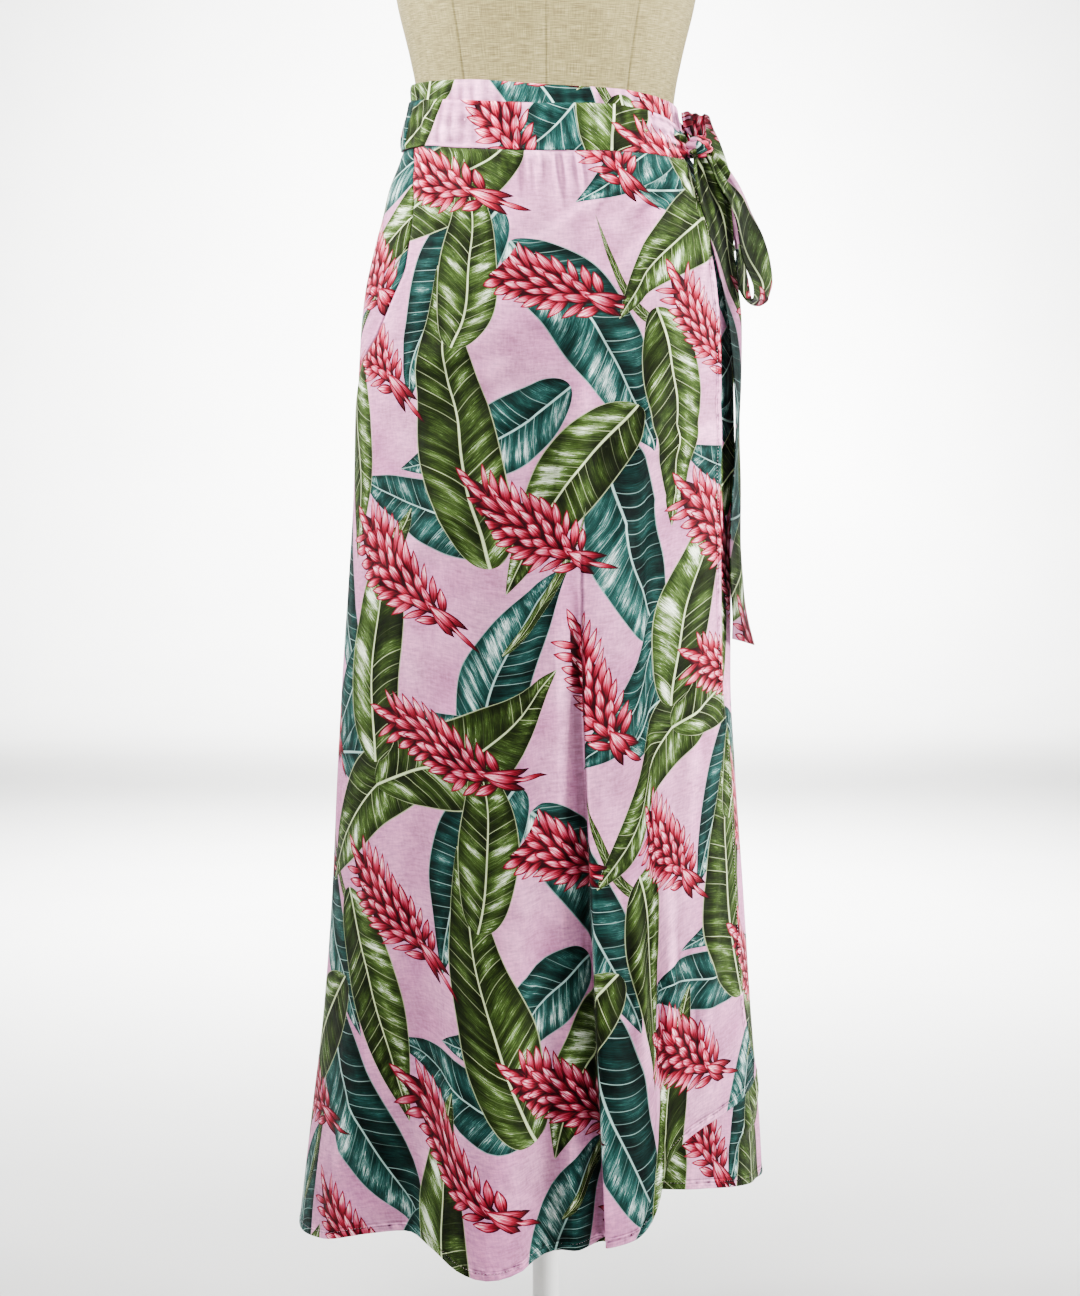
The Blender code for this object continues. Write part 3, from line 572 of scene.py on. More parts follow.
def round_edges(piece, width):
    """A folded strip has no sharp edges."""
    bake(piece, "BEVEL", width=width, segments=2, limit_method="ANGLE", angle_limit=radians(55))


def add_mesh(name, points, faces, material, **point_values):
    """A smooth object made of points and faces, with values for the shader at its points."""
    mesh = bpy.data.meshes.new(name)
    mesh.from_pydata(points, [], faces)
    for value_name, values in point_values.items():
        mesh.attributes.new(value_name, "FLOAT", "POINT").data.foreach_set("value", values)
    mesh.materials.append(material)
    mesh.shade_smooth()
    piece = bpy.data.objects.new(name, mesh)
    scene.collection.objects.link(piece)
    return piece


def hollows(points):
    """How sharply each point of a grid is sunk: -1 on a ridge, 1 at the bottom of a crease."""
    padded = np.pad(points, ((1, 1), (1, 1), (0, 0)), mode="reflect", reflect_type="odd")
    centre, above, below = padded[1:-1, 1:-1], padded[:-2, 1:-1], padded[2:, 1:-1]
    before, after = padded[1:-1, :-2], padded[1:-1, 2:]
    outward = np.cross(below - above, after - before)
    outward /= np.linalg.norm(outward, axis=2, keepdims=True) + 1e-12
    bend = 0.0
    for one, other in ((above, below), (before, after)):
        step = np.linalg.norm(one - other, axis=2) / 2 + 1e-6
        bend += (((one + other) / 2 - centre) * outward).sum(2) / np.maximum(step, FINEST_STEP) ** 2
    return np.clip(bend / SHARP_BEND, -1.0, 1.0)


def make_sheet(name, rows, print_at, wall, offset=-1.0, sewn=(), hidden=(), painted_shade=0.0):
    """rows run from top to bottom, and the points of a row run to the wearer's left.

    sewn names the edges that are turned and stitched, and hidden gives each row's hidden cloth.
    The last argument is painted shade: it is added to how sunk each point is, so that the shader
    darkens the colour of the whole piece, or lightens it below 0."""
    points = np.array([[tuple(point) for point in row] for row in rows])
    tall, wide = points.shape[:2]
    faces = [(j * wide + i, (j + 1) * wide + i, (j + 1) * wide + i + 1, j * wide + i + 1)
             for j in range(tall - 1) for i in range(wide - 1)]
    steps = np.linalg.norm(np.diff(points, axis=1), axis=2)
    along = np.concatenate([np.zeros((tall, 1)), np.cumsum(steps, axis=1)], axis=1)
    drops = np.linalg.norm(np.diff(points[:, wide // 2], axis=0), axis=1)
    down = np.concatenate([[0.0], np.cumsum(drops)])
    insets = {"hem": down[-1] - down[:, None] + 0 * along, "side": along[:, -1:] - along}
    stitched = np.zeros((tall, wide))
    for edge in sewn:
        near = np.exp(-((insets[edge] - STITCH_INSET) / PUCKER_WIDE) ** 2)
        stitched = np.maximum(stitched, near)
    along -= along[:, wide // 2:wide // 2 + 1]
    if hidden:
        along += np.where(np.arange(wide) >= HIDDEN_FROM, np.array(hidden)[:, None], 0.0)
    turn = radians(print_at[2])
    flat_u = along * cos(turn) + down[:, None] * sin(turn) + print_at[0]
    flat_v = along * sin(turn) - down[:, None] * cos(turn) + print_at[1]
    # sunk is the bend of the cloth plus the piece's painted shade, which the shader paints as shade
    # in creases and on darkened pieces, and as a painted highlight on ridges
    piece = add_mesh(name, points.reshape(-1, 3).tolist(), faces, rayon,
                     stitched=stitched.ravel(), sunk=(hollows(points) + painted_shade).ravel())
    mesh = piece.data
    corner = np.zeros(len(mesh.loops), dtype=int)
    mesh.loops.foreach_get("vertex_index", corner)
    flat = np.stack([flat_u.ravel()[corner], flat_v.ravel()[corner]], 1)
    mesh.uv_layers.new(name="cloth").data.foreach_set("uv", flat.ravel())
    bake(piece, "SOLIDIFY", thickness=wall, offset=offset)
    widths = steps.sum(axis=1)
    area = float((steps[:-1].sum(1) * drops).sum())
    print(f"{name}: {widths.min():.3f} to {widths.max():.3f} m wide, {down[-1]:.3f} m long, "
          f"{area:.4f} m2, {len(mesh.polygons)} faces")
    return piece


# %% [markdown]
# ## The print
# The cloth is printed with large brushed leaves in teal and moss green on a pale pink ground, with
# upright flower spikes of small crimson petals over them.  It is an ordinary leaf and flower
# design, drawn here from rules.  Each leaf is one row of a table: its middle, its direction, its
# length and width, and the bend of its midrib.  A leaf wraps round the edges of the repeat, so the
# cloth has no joins.  The shader finds which leaf covers a place, and only then draws veins and
# brush strokes, once for all leaves, in that leaf's own coordinates.

# %% The print's motifs
REPEAT = (0.34, 0.50)
Leaf = namedtuple("Leaf", "x y turn long wide bend")
TEAL_LEAVES = read_rows(Leaf, """
    128 372 -58 250 74 0.45, 318 415 -118 200 68 -0.5, 20 290 205 180 60 0.4
    165 170 -66 265 76 -0.45, 300 225 168 185 62 0.5, 40 105 62 195 64 0.5, 262 20 12 190 62 -0.5
    175 45 -140 160 54 0.4
""")
GREEN_LEAVES = read_rows(Leaf, """
    150 418 120 150 9 3.2, 215 468 215 205 72 -0.5, 330 310 100 260 78 0.35
    88 248 -128 195 68 -0.5, 205 290 -82 215 60 0.3, 2 20 30 215 72 -0.6, 245 118 78 225 70 0.5
    10 452 84 170 56 -0.4, 85 165 60 140 9 -3
""")
Spike = namedtuple("Spike", "x y turn long")
FLOWER_SPIKES = read_rows(Spike, """
    70 432 156 175, 235 372 128 165, 60 215 148 170, 270 168 140 180, 128 68 120 165
    312 20 160 170
""")
Petal = namedtuple("Petal", "x y turn long wide")


def flower_petals():
    """One spike's petals, the outer and upper ones first, so that the lower ones lie on top."""
    chart = [Petal(0.12, 0.0, 0, 0.80, 0.20)]
    rows = 12
    for i in range(rows):
        down = i / (rows - 1)
        half = 0.03 + 0.19 * sin(pi * (0.12 + 0.70 * down)) ** 0.8
        count = 1 if i == 0 else (3 if i < 3 or i == rows - 1 else (5 if i % 2 else 4))
        middle = (count - 1) / 2
        for k in sorted(range(count), key=lambda k: -abs(k - middle)):
            side = (k - middle) / max(middle, 1)
            uneven = sin(i * 12.9 + k * 7.3)
            chart.append(Petal(0.84 - 1.34 * down - 0.05 * abs(side) + 0.025 * uneven, side * half,
                               side * (50 + 9 * sin(i * 5.1)) + 11 * uneven, 0.165 + 0.030 * uneven,
                               0.048 + 0.009 * sin(i * 4.7 + k * 2.9)))
    chart += [Petal(-0.70, 0.05, -14, 0.24, 0.055), Petal(-0.70, -0.05, 14, 0.24, 0.055),
              Petal(-0.70, 0.0, 0, 0.24, 0.055), Petal(-0.96, 0.0, 0, 0.20, 0.030)]
    return chart


print(len(TEAL_LEAVES) + len(GREEN_LEAVES), "leaves and", len(FLOWER_SPIKES), "flower spikes of",
      len(flower_petals()), "petals in a repeat of", REPEAT, "m")


# %% [markdown]
# Motifs are laid over one another in one way, whatever their shape.  A place is seen from each
# motif in turn, in that motif's own coordinates, and where the motif covers it these take the place
# of those of the motifs below.  Their third coordinate is the motif's number.

# %% Laying motifs over one another
def topmost(add, place, motifs, half_sizes, shape, repeats=True):
    top = (0, 0, 0)
    for index, motif in enumerate(motifs, start=1):
        own = place
        if repeats:
            low = (motif.x - REPEAT[0] / 2, motif.y - REPEAT[1] / 2, -1.0)
            high = (motif.x + REPEAT[0] / 2, motif.y + REPEAT[1] / 2, 1.0)
            own = add("VectorMath WRAP", place, high, low)
        own = add("Mapping", own, (motif.x, motif.y, -float(index)), (0, 0, radians(motif.turn)),
                  (*half_sizes(motif), 1), vector_type="TEXTURE")
        own, inside = shape(add, own, motif)
        top = add("Mix", inside, None, None, None, top, own, data_type="VECTOR", out=1)
    return top


# %% [markdown]
# A leaf's outline is a rounded lens on a bent midrib.  On the real print the veins are thin pale
# lines left between brush strokes that run forward from the midrib, so the strokes here are noise
# that is stretched along the veins, and some veins are stronger than others.

# %% The leaves
WIDEST = 1.089  # the greatest half width of the outline below, in its own units
TIP = 1.03


def leaf_shape(add, own, leaf):
    x, y, number = add("SeparateXYZ", own, out=None)
    xx = add("Math MULTIPLY", x, x)
    bent = add("Math MULTIPLY_ADD", xx, leaf.bend, y)
    tip = add("Math ABSOLUTE", add("Math SUBTRACT", TIP, x))
    room = add("Math MULTIPLY", add("Math SUBTRACT", 1.0, xx), tip)
    inside = add("Math LESS_THAN", add("Math MULTIPLY", bent, bent), room)
    return add("CombineXYZ", x, bent, number), inside


def leaf_paint(add, leaf):
    """Colour of the covering leaf, and where there is one."""
    x, y, index = add("SeparateXYZ", leaf, out=None)
    is_leaf = add("Math GREATER_THAN", index, 0.5)
    is_green = add("Math GREATER_THAN", index, len(TEAL_LEAVES) + 0.5)
    chance = add("TexWhiteNoise", None, index, noise_dimensions="1D")
    room = add("Math MULTIPLY", add("Math SUBTRACT", 1.0, add("Math MULTIPLY", x, x)),
               add("Math SUBTRACT", TIP, x))
    width = add("Math SQRT", add("Math MAXIMUM", room, 0.0001))
    side = add("Math SIGN", y)
    out = add("Math ABSOLUTE", y)
    across = add("Math DIVIDE", out, width)
    ahead = add("Math MULTIPLY_ADD", out, -0.24, x)
    ahead = add("Math MULTIPLY_ADD", add("Math MULTIPLY", out, out), 0.05, ahead)
    rank = add("Math MULTIPLY_ADD", ahead, 9.5, add("Math MULTIPLY", side, 0.31))
    rank = add("Math MULTIPLY_ADD", index, 2.7, rank)
    stroke = add("CombineXYZ", rank, add("Math MULTIPLY", across, 0.6), index)
    broad = add("TexNoise", stroke, None, 1.1, 1.5, 0.5)
    bristles = add("TexNoise", add("VectorMath MULTIPLY", stroke, (17.0, 3.6, 1.0)),
                   None, 1.0, 3.0, 0.75)
    between = add("Math ABSOLUTE", add("Math SUBTRACT", add("Math FRACT", rank), 0.5))
    vein = add("MapRange", between, 0.008, 0.036, 1.0, 0.0)
    strength = add("TexWhiteNoise", None, add("Math FLOOR", rank), noise_dimensions="1D")
    vein = add("Math MULTIPLY", vein, add("MapRange", strength, 0.20, 0.80, 0.0, 0.9))
    vein = add("Math MULTIPLY", vein, add("MapRange", across, 0.65, 1.0, 1.0, 0.15))
    tone = add("Math MULTIPLY", side, add("MapRange", chance, 0.0, 1.0, -0.16, 0.16))
    tone = add("Math MULTIPLY_ADD", bristles, 1.30, tone)
    tone = add("Math MULTIPLY_ADD", broad, 1.10, tone)
    tone = add("Math SUBTRACT", tone, add("MapRange", across, 0.0, 0.40, 0.26, 0.0))
    tone = add("Math SUBTRACT", tone, add("MapRange", across, 0.65, 1.0, 0.0, 0.26))
    tone = add("Math SUBTRACT", tone, 0.66)
    green = add("ValToRGB", tone, steps=(
        (0.10, "#060a01"), (0.38, "#161f06"), (0.62, "#32451a"), (0.76, "#6b8449"),
        (0.90, "#f2fae4")))
    teal = add("ValToRGB", tone, steps=(
        (0.08, "#010807"), (0.38, "#06201d"), (0.63, "#1b403c"), (0.77, "#527c76"),
        (0.92, "#e6f4f0")))
    paint = add("Mix", is_green, *NO_SOCKETS, teal, green, data_type="RGBA", out=2)
    pale = add("Mix", is_green, *NO_SOCKETS, linear("#8fb0a9"), linear("#b9c795"),
               data_type="RGBA", out=2)
    rib = add("MapRange", add("Math MULTIPLY_ADD", x, 0.014, out), 0.012, 0.036, 1.0, 0.0)
    rim = add("MapRange", across, 0.965, 0.990, 0.0, 0.6)
    line = add("Math MAXIMUM", add("Math MAXIMUM", rib, vein), rim)
    return add("Mix", line, *NO_SOCKETS, paint, pale, data_type="RGBA", out=2), is_leaf


# %% [markdown]
# A flower spike is drawn the same way: the shader finds the spike that covers a place, then the
# topmost petal of its chart.  A petal is pale at its tip and crimson at its root and edges, which
# is what makes the spike read as many small overlapping petals from across a room.

# %% The flower spikes
SPIKE_REACH = 1.16  # in half lengths, the disc in which a spike's petals are looked for


def spike_shape(add, own, _):
    flat = add("VectorMath MULTIPLY", own, (1.0, 1.0, 0.0))
    return own, add("Math LESS_THAN", add("VectorMath LENGTH", flat, out=1), SPIKE_REACH)


def petal_shape(add, own, _):
    along, across, _ = add("SeparateXYZ", own, out=None)
    edge = add("Math MULTIPLY_ADD", along, along, add("Math ABSOLUTE", across))
    return own, add("Math LESS_THAN", edge, 1.0)


def covering_petal(add, place):
    spike = topmost(add, place, FLOWER_SPIKES, lambda it: (it.long / 2, it.long / 2), spike_shape)
    x, y, index = add("SeparateXYZ", spike, out=None)
    is_spike = add("Math GREATER_THAN", index, 0.5)
    bent = add("Math MULTIPLY_ADD", add("Math MULTIPLY", x, x), 0.10, y)
    flower = add("CombineXYZ", x, bent, 0.0)
    petal = topmost(add, flower, flower_petals(), lambda it: (it.long, it.wide), petal_shape,
                    repeats=False)
    return petal, is_spike


def petal_paint(add, petal, is_spike):
    along, across, index = add("SeparateXYZ", petal, out=None)
    is_petal = add("Math MULTIPLY", add("Math GREATER_THAN", index, 0.5), is_spike)
    edge = add("Math MULTIPLY_ADD", along, along, add("Math ABSOLUTE", across))
    brushed = add("CombineXYZ", add("Math MULTIPLY", along, 0.8), add("Math MULTIPLY", across, 5.0),
                  index)
    streak = add("TexNoise", brushed, None, 1.0, 2.0, 0.6)
    tone = add("MapRange", along, -1.0, 0.45, 0.10, 0.70, interpolation_type="SMOOTHSTEP")
    tone = add("Math MULTIPLY_ADD", add("Math SUBTRACT", streak, 0.5), 0.95, tone)
    tone = add("Math SUBTRACT", tone, add("MapRange", edge, 0.60, 1.0, 0.0, 0.50))
    tone = add("Math MULTIPLY_ADD", add("Math LESS_THAN", index, 1.5), -0.40, tone)
    paint = add("ValToRGB", tone, steps=(
        (0.06, "#1c0105"), (0.30, "#4a030f"), (0.50, "#841026"), (0.68, "#bf4866"),
        (0.84, "#fcd2dc")))
    return paint, is_petal


def make_print():
    tree = bpy.data.node_groups.new("leaf_and_flower_print", "ShaderNodeTree")
    for name, way, kind in (("Place", "INPUT", "Vector"), ("Color", "OUTPUT", "Color"),
                            ("Inked", "OUTPUT", "Float")):
        tree.interface.new_socket(name, in_out=way, socket_type="NodeSocket" + kind)
    add = partial(add_node, tree)
    place = tree.nodes.new("NodeGroupInput").outputs[0]
    wander = add("TexNoise", place, None, 13.0, 0.0, 0.5, out=1, noise_dimensions="2D")
    wander = add("VectorMath SUBTRACT", wander, (0.5, 0.5, 0.5))
    drawn = add("VectorMath MULTIPLY_ADD", wander, (0.010, 0.010, 0.0), place)
    leaf = topmost(add, drawn, TEAL_LEAVES + GREEN_LEAVES,
                   lambda it: (it.long / 2, it.wide / 2 / WIDEST), leaf_shape)
    leaf_color, is_leaf = leaf_paint(add, leaf)
    cloud = add("TexNoise", place, None, 14.0, 2.0, 0.5, noise_dimensions="2D")
    ground = add("ValToRGB", cloud, steps=((0.3, "#b36f97"), (0.7, "#c988ac")))
    color = add("Mix", is_leaf, *NO_SOCKETS, ground, leaf_color, data_type="RGBA", out=2)
    petal_color, is_petal = petal_paint(add, *covering_petal(add, drawn))
    color = add("Mix", is_petal, *NO_SOCKETS, color, petal_color, data_type="RGBA", out=2)
    end = tree.nodes.new("NodeGroupOutput")
    plug(end.inputs[0], color)
    plug(end.inputs[1], add("Math MAXIMUM", is_leaf, is_petal))
    print("the print is drawn with", len(tree.nodes), "nodes")
    return tree


# %% [markdown]
# ## The rayon
# Rayon challis is a light plain weave of soft spun threads.  It has almost no shine, only a little
# sheen where it turns away, and tiny crinkles all over from wear.  Those three things, a high
# roughness, a low sheen and a shallow bump, are what tell the eye that it's soft and light.

# %% Printed rayon
rayon, add, shader = new_material("printed_rayon")
cloth_place = add("UVMap", uv_map="cloth")
printed = add("Group", cloth_place, out=None, node_tree=make_print())
THREAD_PITCH = 0.42 * MM
threads = add("VectorMath SCALE", cloth_place, None, None, 2 * pi / THREAD_PITCH)
thread_u, thread_v, _ = add("SeparateXYZ", threads, out=None)
weave = add("Math MULTIPLY", add("Math SINE", thread_u), add("Math SINE", thread_v))
# single threads are too fine to show, so thick and thin ones are drawn a few times their size
weft = add("TexNoise", add("VectorMath MULTIPLY", cloth_place, (95.0, 430.0, 1.0)),
           None, 1.0, 3.0, 0.7)
warp = add("TexNoise", add("VectorMath MULTIPLY", cloth_place, (480.0, 120.0, 1.0)),
           None, 1.0, 2.0, 0.6)
faded = add("TexNoise", cloth_place, None, 30.0, 3.0, 0.6)
uneven = add("Math MULTIPLY_ADD", warp, 0.5, add("Math MULTIPLY_ADD", faded, 0.8, weft))
bare = add("MapRange", uneven, 0.85, 1.45, 0.62, 1.42)
inked = add("MapRange", uneven, 0.85, 1.45, 0.85, 1.15)
shade = add("Mix", printed["Inked"], None, bare, inked)
# painted shade: the colour is darkened in creases, where the cloth's own walls keep the light out,
# and on pieces given painted shade, and lightened on ridges as a painted highlight
sunk = add("Attribute", attribute_name="sunk", out=2)
shade = add("Math MULTIPLY", shade, add("MapRange", sunk, -1.0, 1.6, 1.45, 0.20))
stitched = add("Attribute", attribute_name="stitched", out=2)
pucker = add("TexNoise", add("VectorMath ADD", cloth_place, (3.0, 3.0, 0.0)),
             None, 150.0, 1.0, 0.5)
# painted light and shade on the puckers: along a stitched line the colour is made lighter and darker
# by the same noise that bumps the cloth
pucker_painted_light = add("Math MULTIPLY", add("Math SUBTRACT", pucker, 0.5), stitched)
shade = add("Math MULTIPLY_ADD", pucker_painted_light, 3.2, shade)
shade = add("Math MULTIPLY_ADD", weave, 0.03, shade)
dyed = add("VectorMath SCALE", printed["Color"], None, None, shade)
crinkle = add("TexNoise", cloth_place, None, 130.0, 3.0, 0.5)
rough = add("MapRange", crinkle, 0.3, 0.7, 0.72, 0.86)
rough = add("Math MULTIPLY_ADD", printed["Inked"], -0.05, rough)
height = add("Math MULTIPLY_ADD", weft, 0.25, crinkle)
fine_bump = add("Bump", 0.8, 0.7 * MM, None, height)
rumple = add("TexNoise", cloth_place, None, 24.0, 2.0, 0.5)
soft_bump = add("Bump", 1.0, 4.5 * MM, None, rumple, fine_bump)
bump = add("Bump", 1.0, 2.4 * MM, None, add("Math MULTIPLY", pucker, stitched), soft_bump)
finish_shader(shader, Base_Color=dyed, Roughness=rough, Normal=bump, Sheen_Weight=0.02,
              Sheen_Roughness=0.5, Specular_IOR_Level=0.04)


# %% [markdown]
# ## The panels
# A skirt panel hangs from its waist seam to its hem.  Its rows of points lie evenly down the cloth
# and close together in the narrow hem.  Its columns lie close together across the deep front fold
# and at the free edge, where the cloth turns quickly.  At a seam the cloth rolls in a little, since
# it is turned under and pressed there.

# %% Panel surfaces
HEM_ROWS = 11
HEM_STEP = 0.00115
EDGE_COLUMNS = 11
EDGE_STEP = 1.0 * MM
TUCK_REACH = 9.5
SEAM_ROLL = 1.0 * MM
SEAM_ROLL_WIDE = 2.2 * MM
FOLD_LINE_TURN = -1.1
FOLD_LINE_WIDE = 0.9
FOLD_LINE_DEPTH = 2.2 * MM
HIDDEN_CLOTH = 0.032
HIP_FULLNESS = 4.0 * MM
FULLEST_ANGLE, FULLEST_HEIGHT = 86, 1.125
FULL_SPREAD, FULL_TALL = 9, 20 * MM
SETTLE_TURN, SETTLE_DROP = 5.0, 6 * MM  # creases grow to full depth this far from a seam
OVER_ROWS, UNDER_ROWS, BACK_ROWS = 200, 150, 170
BEFORE_FOLD, ACROSS_FOLD, AFTER_FOLD = 44, 44, 40  # columns of the outer panel
UNDER_COLUMNS, BACK_COLUMNS = 84, 132


def hip_fullness(angle, height):
    """The gathered tie pushes the cloth out a little under the knot."""
    across = (angle - FULLEST_ANGLE) / FULL_SPREAD
    upwards = (height - FULLEST_HEIGHT) / FULL_TALL
    return HIP_FULLNESS * exp(-across**2 - upwards**2)


def rows_down(count):
    last = 1 - (HEM_ROWS - 1) * HEM_STEP
    return [last * i / count for i in range(count)] + [last + k * HEM_STEP for k in range(HEM_ROWS)]


def seam_roll(distance):
    return -SEAM_ROLL * exp(-(distance / SEAM_ROLL_WIDE) ** 2)


def over_surface(angle, height):
    """The outer face of the outer wrap panel."""
    from_left = angle - left_seam_at(height)
    width = per_degree(angle, height)
    from_edge = max(free_edge_at(height) - angle, 0.0) * width
    from_hem = max(hem_inset(angle, height, over_hem_at), 0.0)
    from_top = over_band_bottom_at(angle) - height
    lift = LAYER_LIFT * smoothstep(0.0, LIFT_BLEND, from_left)
    lift += fold_lift(OVER_FOLDS, angle, height)
    settle = smoothstep(0.0, SETTLE_TURN, from_left) * smoothstep(0.0, SETTLE_DROP, from_top)
    lift += settle * crease_lift(OVER_CREASES, angle, height)
    lift += (turned_edge(min(from_edge, from_hem)) + seam_roll(from_left * width)
             + seam_roll(from_top))
    tuck_lift, slide = tuck_shift(angle, height)
    from_line = (angle - tuck_centre(height) - FOLD_LINE_TURN) / FOLD_LINE_WIDE
    lift -= FOLD_LINE_DEPTH * growth(MAIN_TUCK.top, height, 0.6) * exp(-from_line**2)
    return skirt_point(angle, height, lift + tuck_lift, slide)


def under_surface(angle, height):
    top = under_height(angle, 0.0)
    down = (top - height) / (top - under_hem_at(angle))
    covered = 1 - smoothstep(*COVER_END, angle)
    lift = fold_lift(UNDER_FOLDS, angle, height) + hollow_lift(UNDER_HOLLOW, angle, height)
    lift -= COVERED_SETBACK * covered * smoothstep(0.0, COVER_BLEND, down)
    settle = (1 - covered) * smoothstep(0.0, SETTLE_DROP, top - height)
    lift += settle * crease_lift(UNDER_CREASES, angle, height)
    lift += turned_edge(max(hem_inset(angle, height, under_hem_at), 0.0))
    lift += (seam_roll((BACK_SEAM_ANGLE - angle) * per_degree(angle, height))
             + seam_roll(top - height))
    return skirt_point(angle, height, lift + hip_fullness(angle, height))


def back_surface(angle, height):
    width = per_degree(angle, height)
    from_right = (angle - BACK_SEAM_ANGLE) * width
    from_left = 360 + left_seam_at(height) - angle
    from_top = back_band_bottom_at(angle) - height
    settle = smoothstep(0.0, SETTLE_TURN, min(from_left, angle - BACK_SEAM_ANGLE))
    settle *= smoothstep(0.0, SETTLE_DROP, from_top)
    lift = fold_lift(BACK_FOLDS, angle, height) + settle * crease_lift(BACK_CREASES, angle, height)
    lift += turned_edge(max(hem_inset(angle, height, back_hem_at), 0.0))
    lift += seam_roll(from_right) + seam_roll(from_left * width) + seam_roll(from_top)
    return skirt_point(angle, height, lift + hip_fullness(angle, height))


def over_row(down):
    left = left_seam_at(left_seam_height(down))
    right = settled_angle(free_edge_at, over_height, down)
    fold = settled_angle(tuck_centre, over_height, down)
    step = EDGE_STEP / per_degree(right, over_height(right, down))
    last = right - (EDGE_COLUMNS - 1) * step
    angles = (evenly(left, fold - TUCK_REACH, BEFORE_FOLD, False)
              + evenly(fold - TUCK_REACH, fold + TUCK_REACH, ACROSS_FOLD, False)
              + evenly(fold + TUCK_REACH, last, AFTER_FOLD, False)
              + evenly(last, right, EDGE_COLUMNS))
    return [over_surface(angle, height_by_seam(over_height(angle, down), down, angle - left))
            for angle in angles]


def under_row(down):
    left = settled_angle(under_edge_at, under_height, down)
    return [under_surface(angle, under_height(angle, down))
            for angle in evenly(left, BACK_SEAM_ANGLE, UNDER_COLUMNS)]


def back_row(down):
    left = 360 + left_seam_at(left_seam_height(down))
    return [back_surface(angle, height_by_seam(back_height(angle, down), down, left - angle))
            for angle in evenly(BACK_SEAM_ANGLE, left, BACK_COLUMNS)]


# %% Panels
PINK, RED, GREEN, TEAL = ("printed_rayon_" + name for name in ("pink", "red", "green", "teal"))
swallowed = [HIDDEN_CLOTH * growth(MAIN_TUCK.top, mix(LEFT_SEAM_TOP, HEM_LEVEL, down), 0.6)
             for down in rows_down(OVER_ROWS)]
Panel = namedtuple("Panel", "node slot row count print_at sewn hidden")
PANELS = (
    Panel("over_front", PINK, over_row, OVER_ROWS, (0.115, 0.05, 0), ("hem", "side"), swallowed),
    Panel("under_front", GREEN, under_row, UNDER_ROWS, (0.06, 0.24, 6), ("hem",), ()),
    Panel("back_panel", PINK, back_row, BACK_ROWS, (0.21, 0.33, 0), ("hem",), ()),
)
for panel in PANELS:
    piece = make_sheet(panel.node + "_cloth", [panel.row(down) for down in rows_down(panel.count)],
                       panel.print_at, CLOTH_WALL, sewn=panel.sewn, hidden=panel.hidden)
    finish_piece(piece, panel.node)


# %% [markdown]
# ## Waistbands and ties
# A waistband is a strip folded along its length, so its top edge is round and its bottom edge is
# sewn to the skirt.  The ties go on from the bands' ends.  A tie lies flat at the back and is drawn
# together into pleats where it goes into the knot.

# %% Band and tie surfaces
Pleats = namedtuple("Pleats", "start end count depth")
BAND_COLUMN = 0.8
BAND_ROUND = 0.45 * MM
BAND_CRUMPLE = 1.35 * MM
BAND_PUFF, EDGE_ROLL, EDGE_ROLL_WIDE = 0.25 * MM, 0.5 * MM, 1.3 * MM


def band_rows(table, pleats=None, steps=14, seed=0.0):
    top_at, bottom_at, lift_at = (
        curve_through(table, "angle", name) for name in ("top", "bottom", "lift"))
    first, last = table[0].angle, table[-1].angle
    angles = evenly(first, last, max(12, round((last - first) / BAND_COLUMN)))
    rows = []
    for v in evenly(0, 1, steps):
        row = []
        for angle in angles:
            tall = top_at(angle) - bottom_at(angle)
            lift = lift_at(angle)
            crumple = BAND_CRUMPLE * (0.4 + 0.6 * sin(pi * v))
            lift += (crumple * sin(angle * 0.31 + v * 2.4 + seed)
                     * sin(angle * 0.083 + 1.7 * v + 2 * seed))
            lift += (0.5 * crumple * sin(angle * 0.83 - v * 4.1 + 3 * seed)
                     * sin(angle * 0.19 + 2.9 * v + seed))
            lift += (0.4 * crumple * sin(14 * v + 0.07 * angle + seed)
                     * sin(0.11 * angle + 2 * seed) ** 2)
            rolled = exp(-(min(v, 1 - v) * tall / EDGE_ROLL_WIDE) ** 2)
            lift += BAND_PUFF * sin(pi * v) - EDGE_ROLL * rolled
            if pleats:
                gathered = smoothstep(pleats.start, pleats.end, angle)
                pleat = sin(2 * pi * pleats.count * v + 0.02 * angle + seed)
                lift += gathered * pleats.depth * pleat
            row.append(skirt_point(angle, mix(top_at(angle), bottom_at(angle), v), lift))
        rows.append(row)
    return rows


Band = namedtuple("Band", "node slot table wall pleats steps print_at seed")
BANDS = (
    Band("waistband_under", TEAL, UNDER_BAND, BAND_WALL, None, 14, (0.10, 0.40, 0), 0.4),
    Band("waistband_over", RED, OVER_BAND, BAND_WALL, Pleats(40, 66, 3.5, 0.0005), 26,
         (0.17, 0.075, 0), 1.3),
    Band("waistband_back", TEAL, BACK_BAND, BAND_WALL, None, 14, (0.02, 0.15, 0), 2.2),
    Band("tie_over", PINK, OVER_TIE, TIE_WALL, Pleats(62, 70, 3.5, 0.0009), 30,
         (0.33, 0.055, 0), 0.9),
    Band("tie_round", GREEN, ROUND_TIE, TIE_WALL, None, 14, (0.25, 0.20, 0), 3.1),
)
for band in BANDS:
    piece = make_sheet(band.node + "_cloth",
                       band_rows(band.table, band.pleats, band.steps, seed=band.seed),
                       band.print_at, band.wall)
    round_edges(piece, BAND_ROUND)
    finish_piece(piece, band.node)

# %% [markdown]
# ## The bow
# The loops and tails of the bow are free straps: each has a middle line in space, a width, and a
# direction in which that width lies.  Near the knot the strap is squeezed, so its cloth stands in
# pleats that open out and fade as it hangs free.

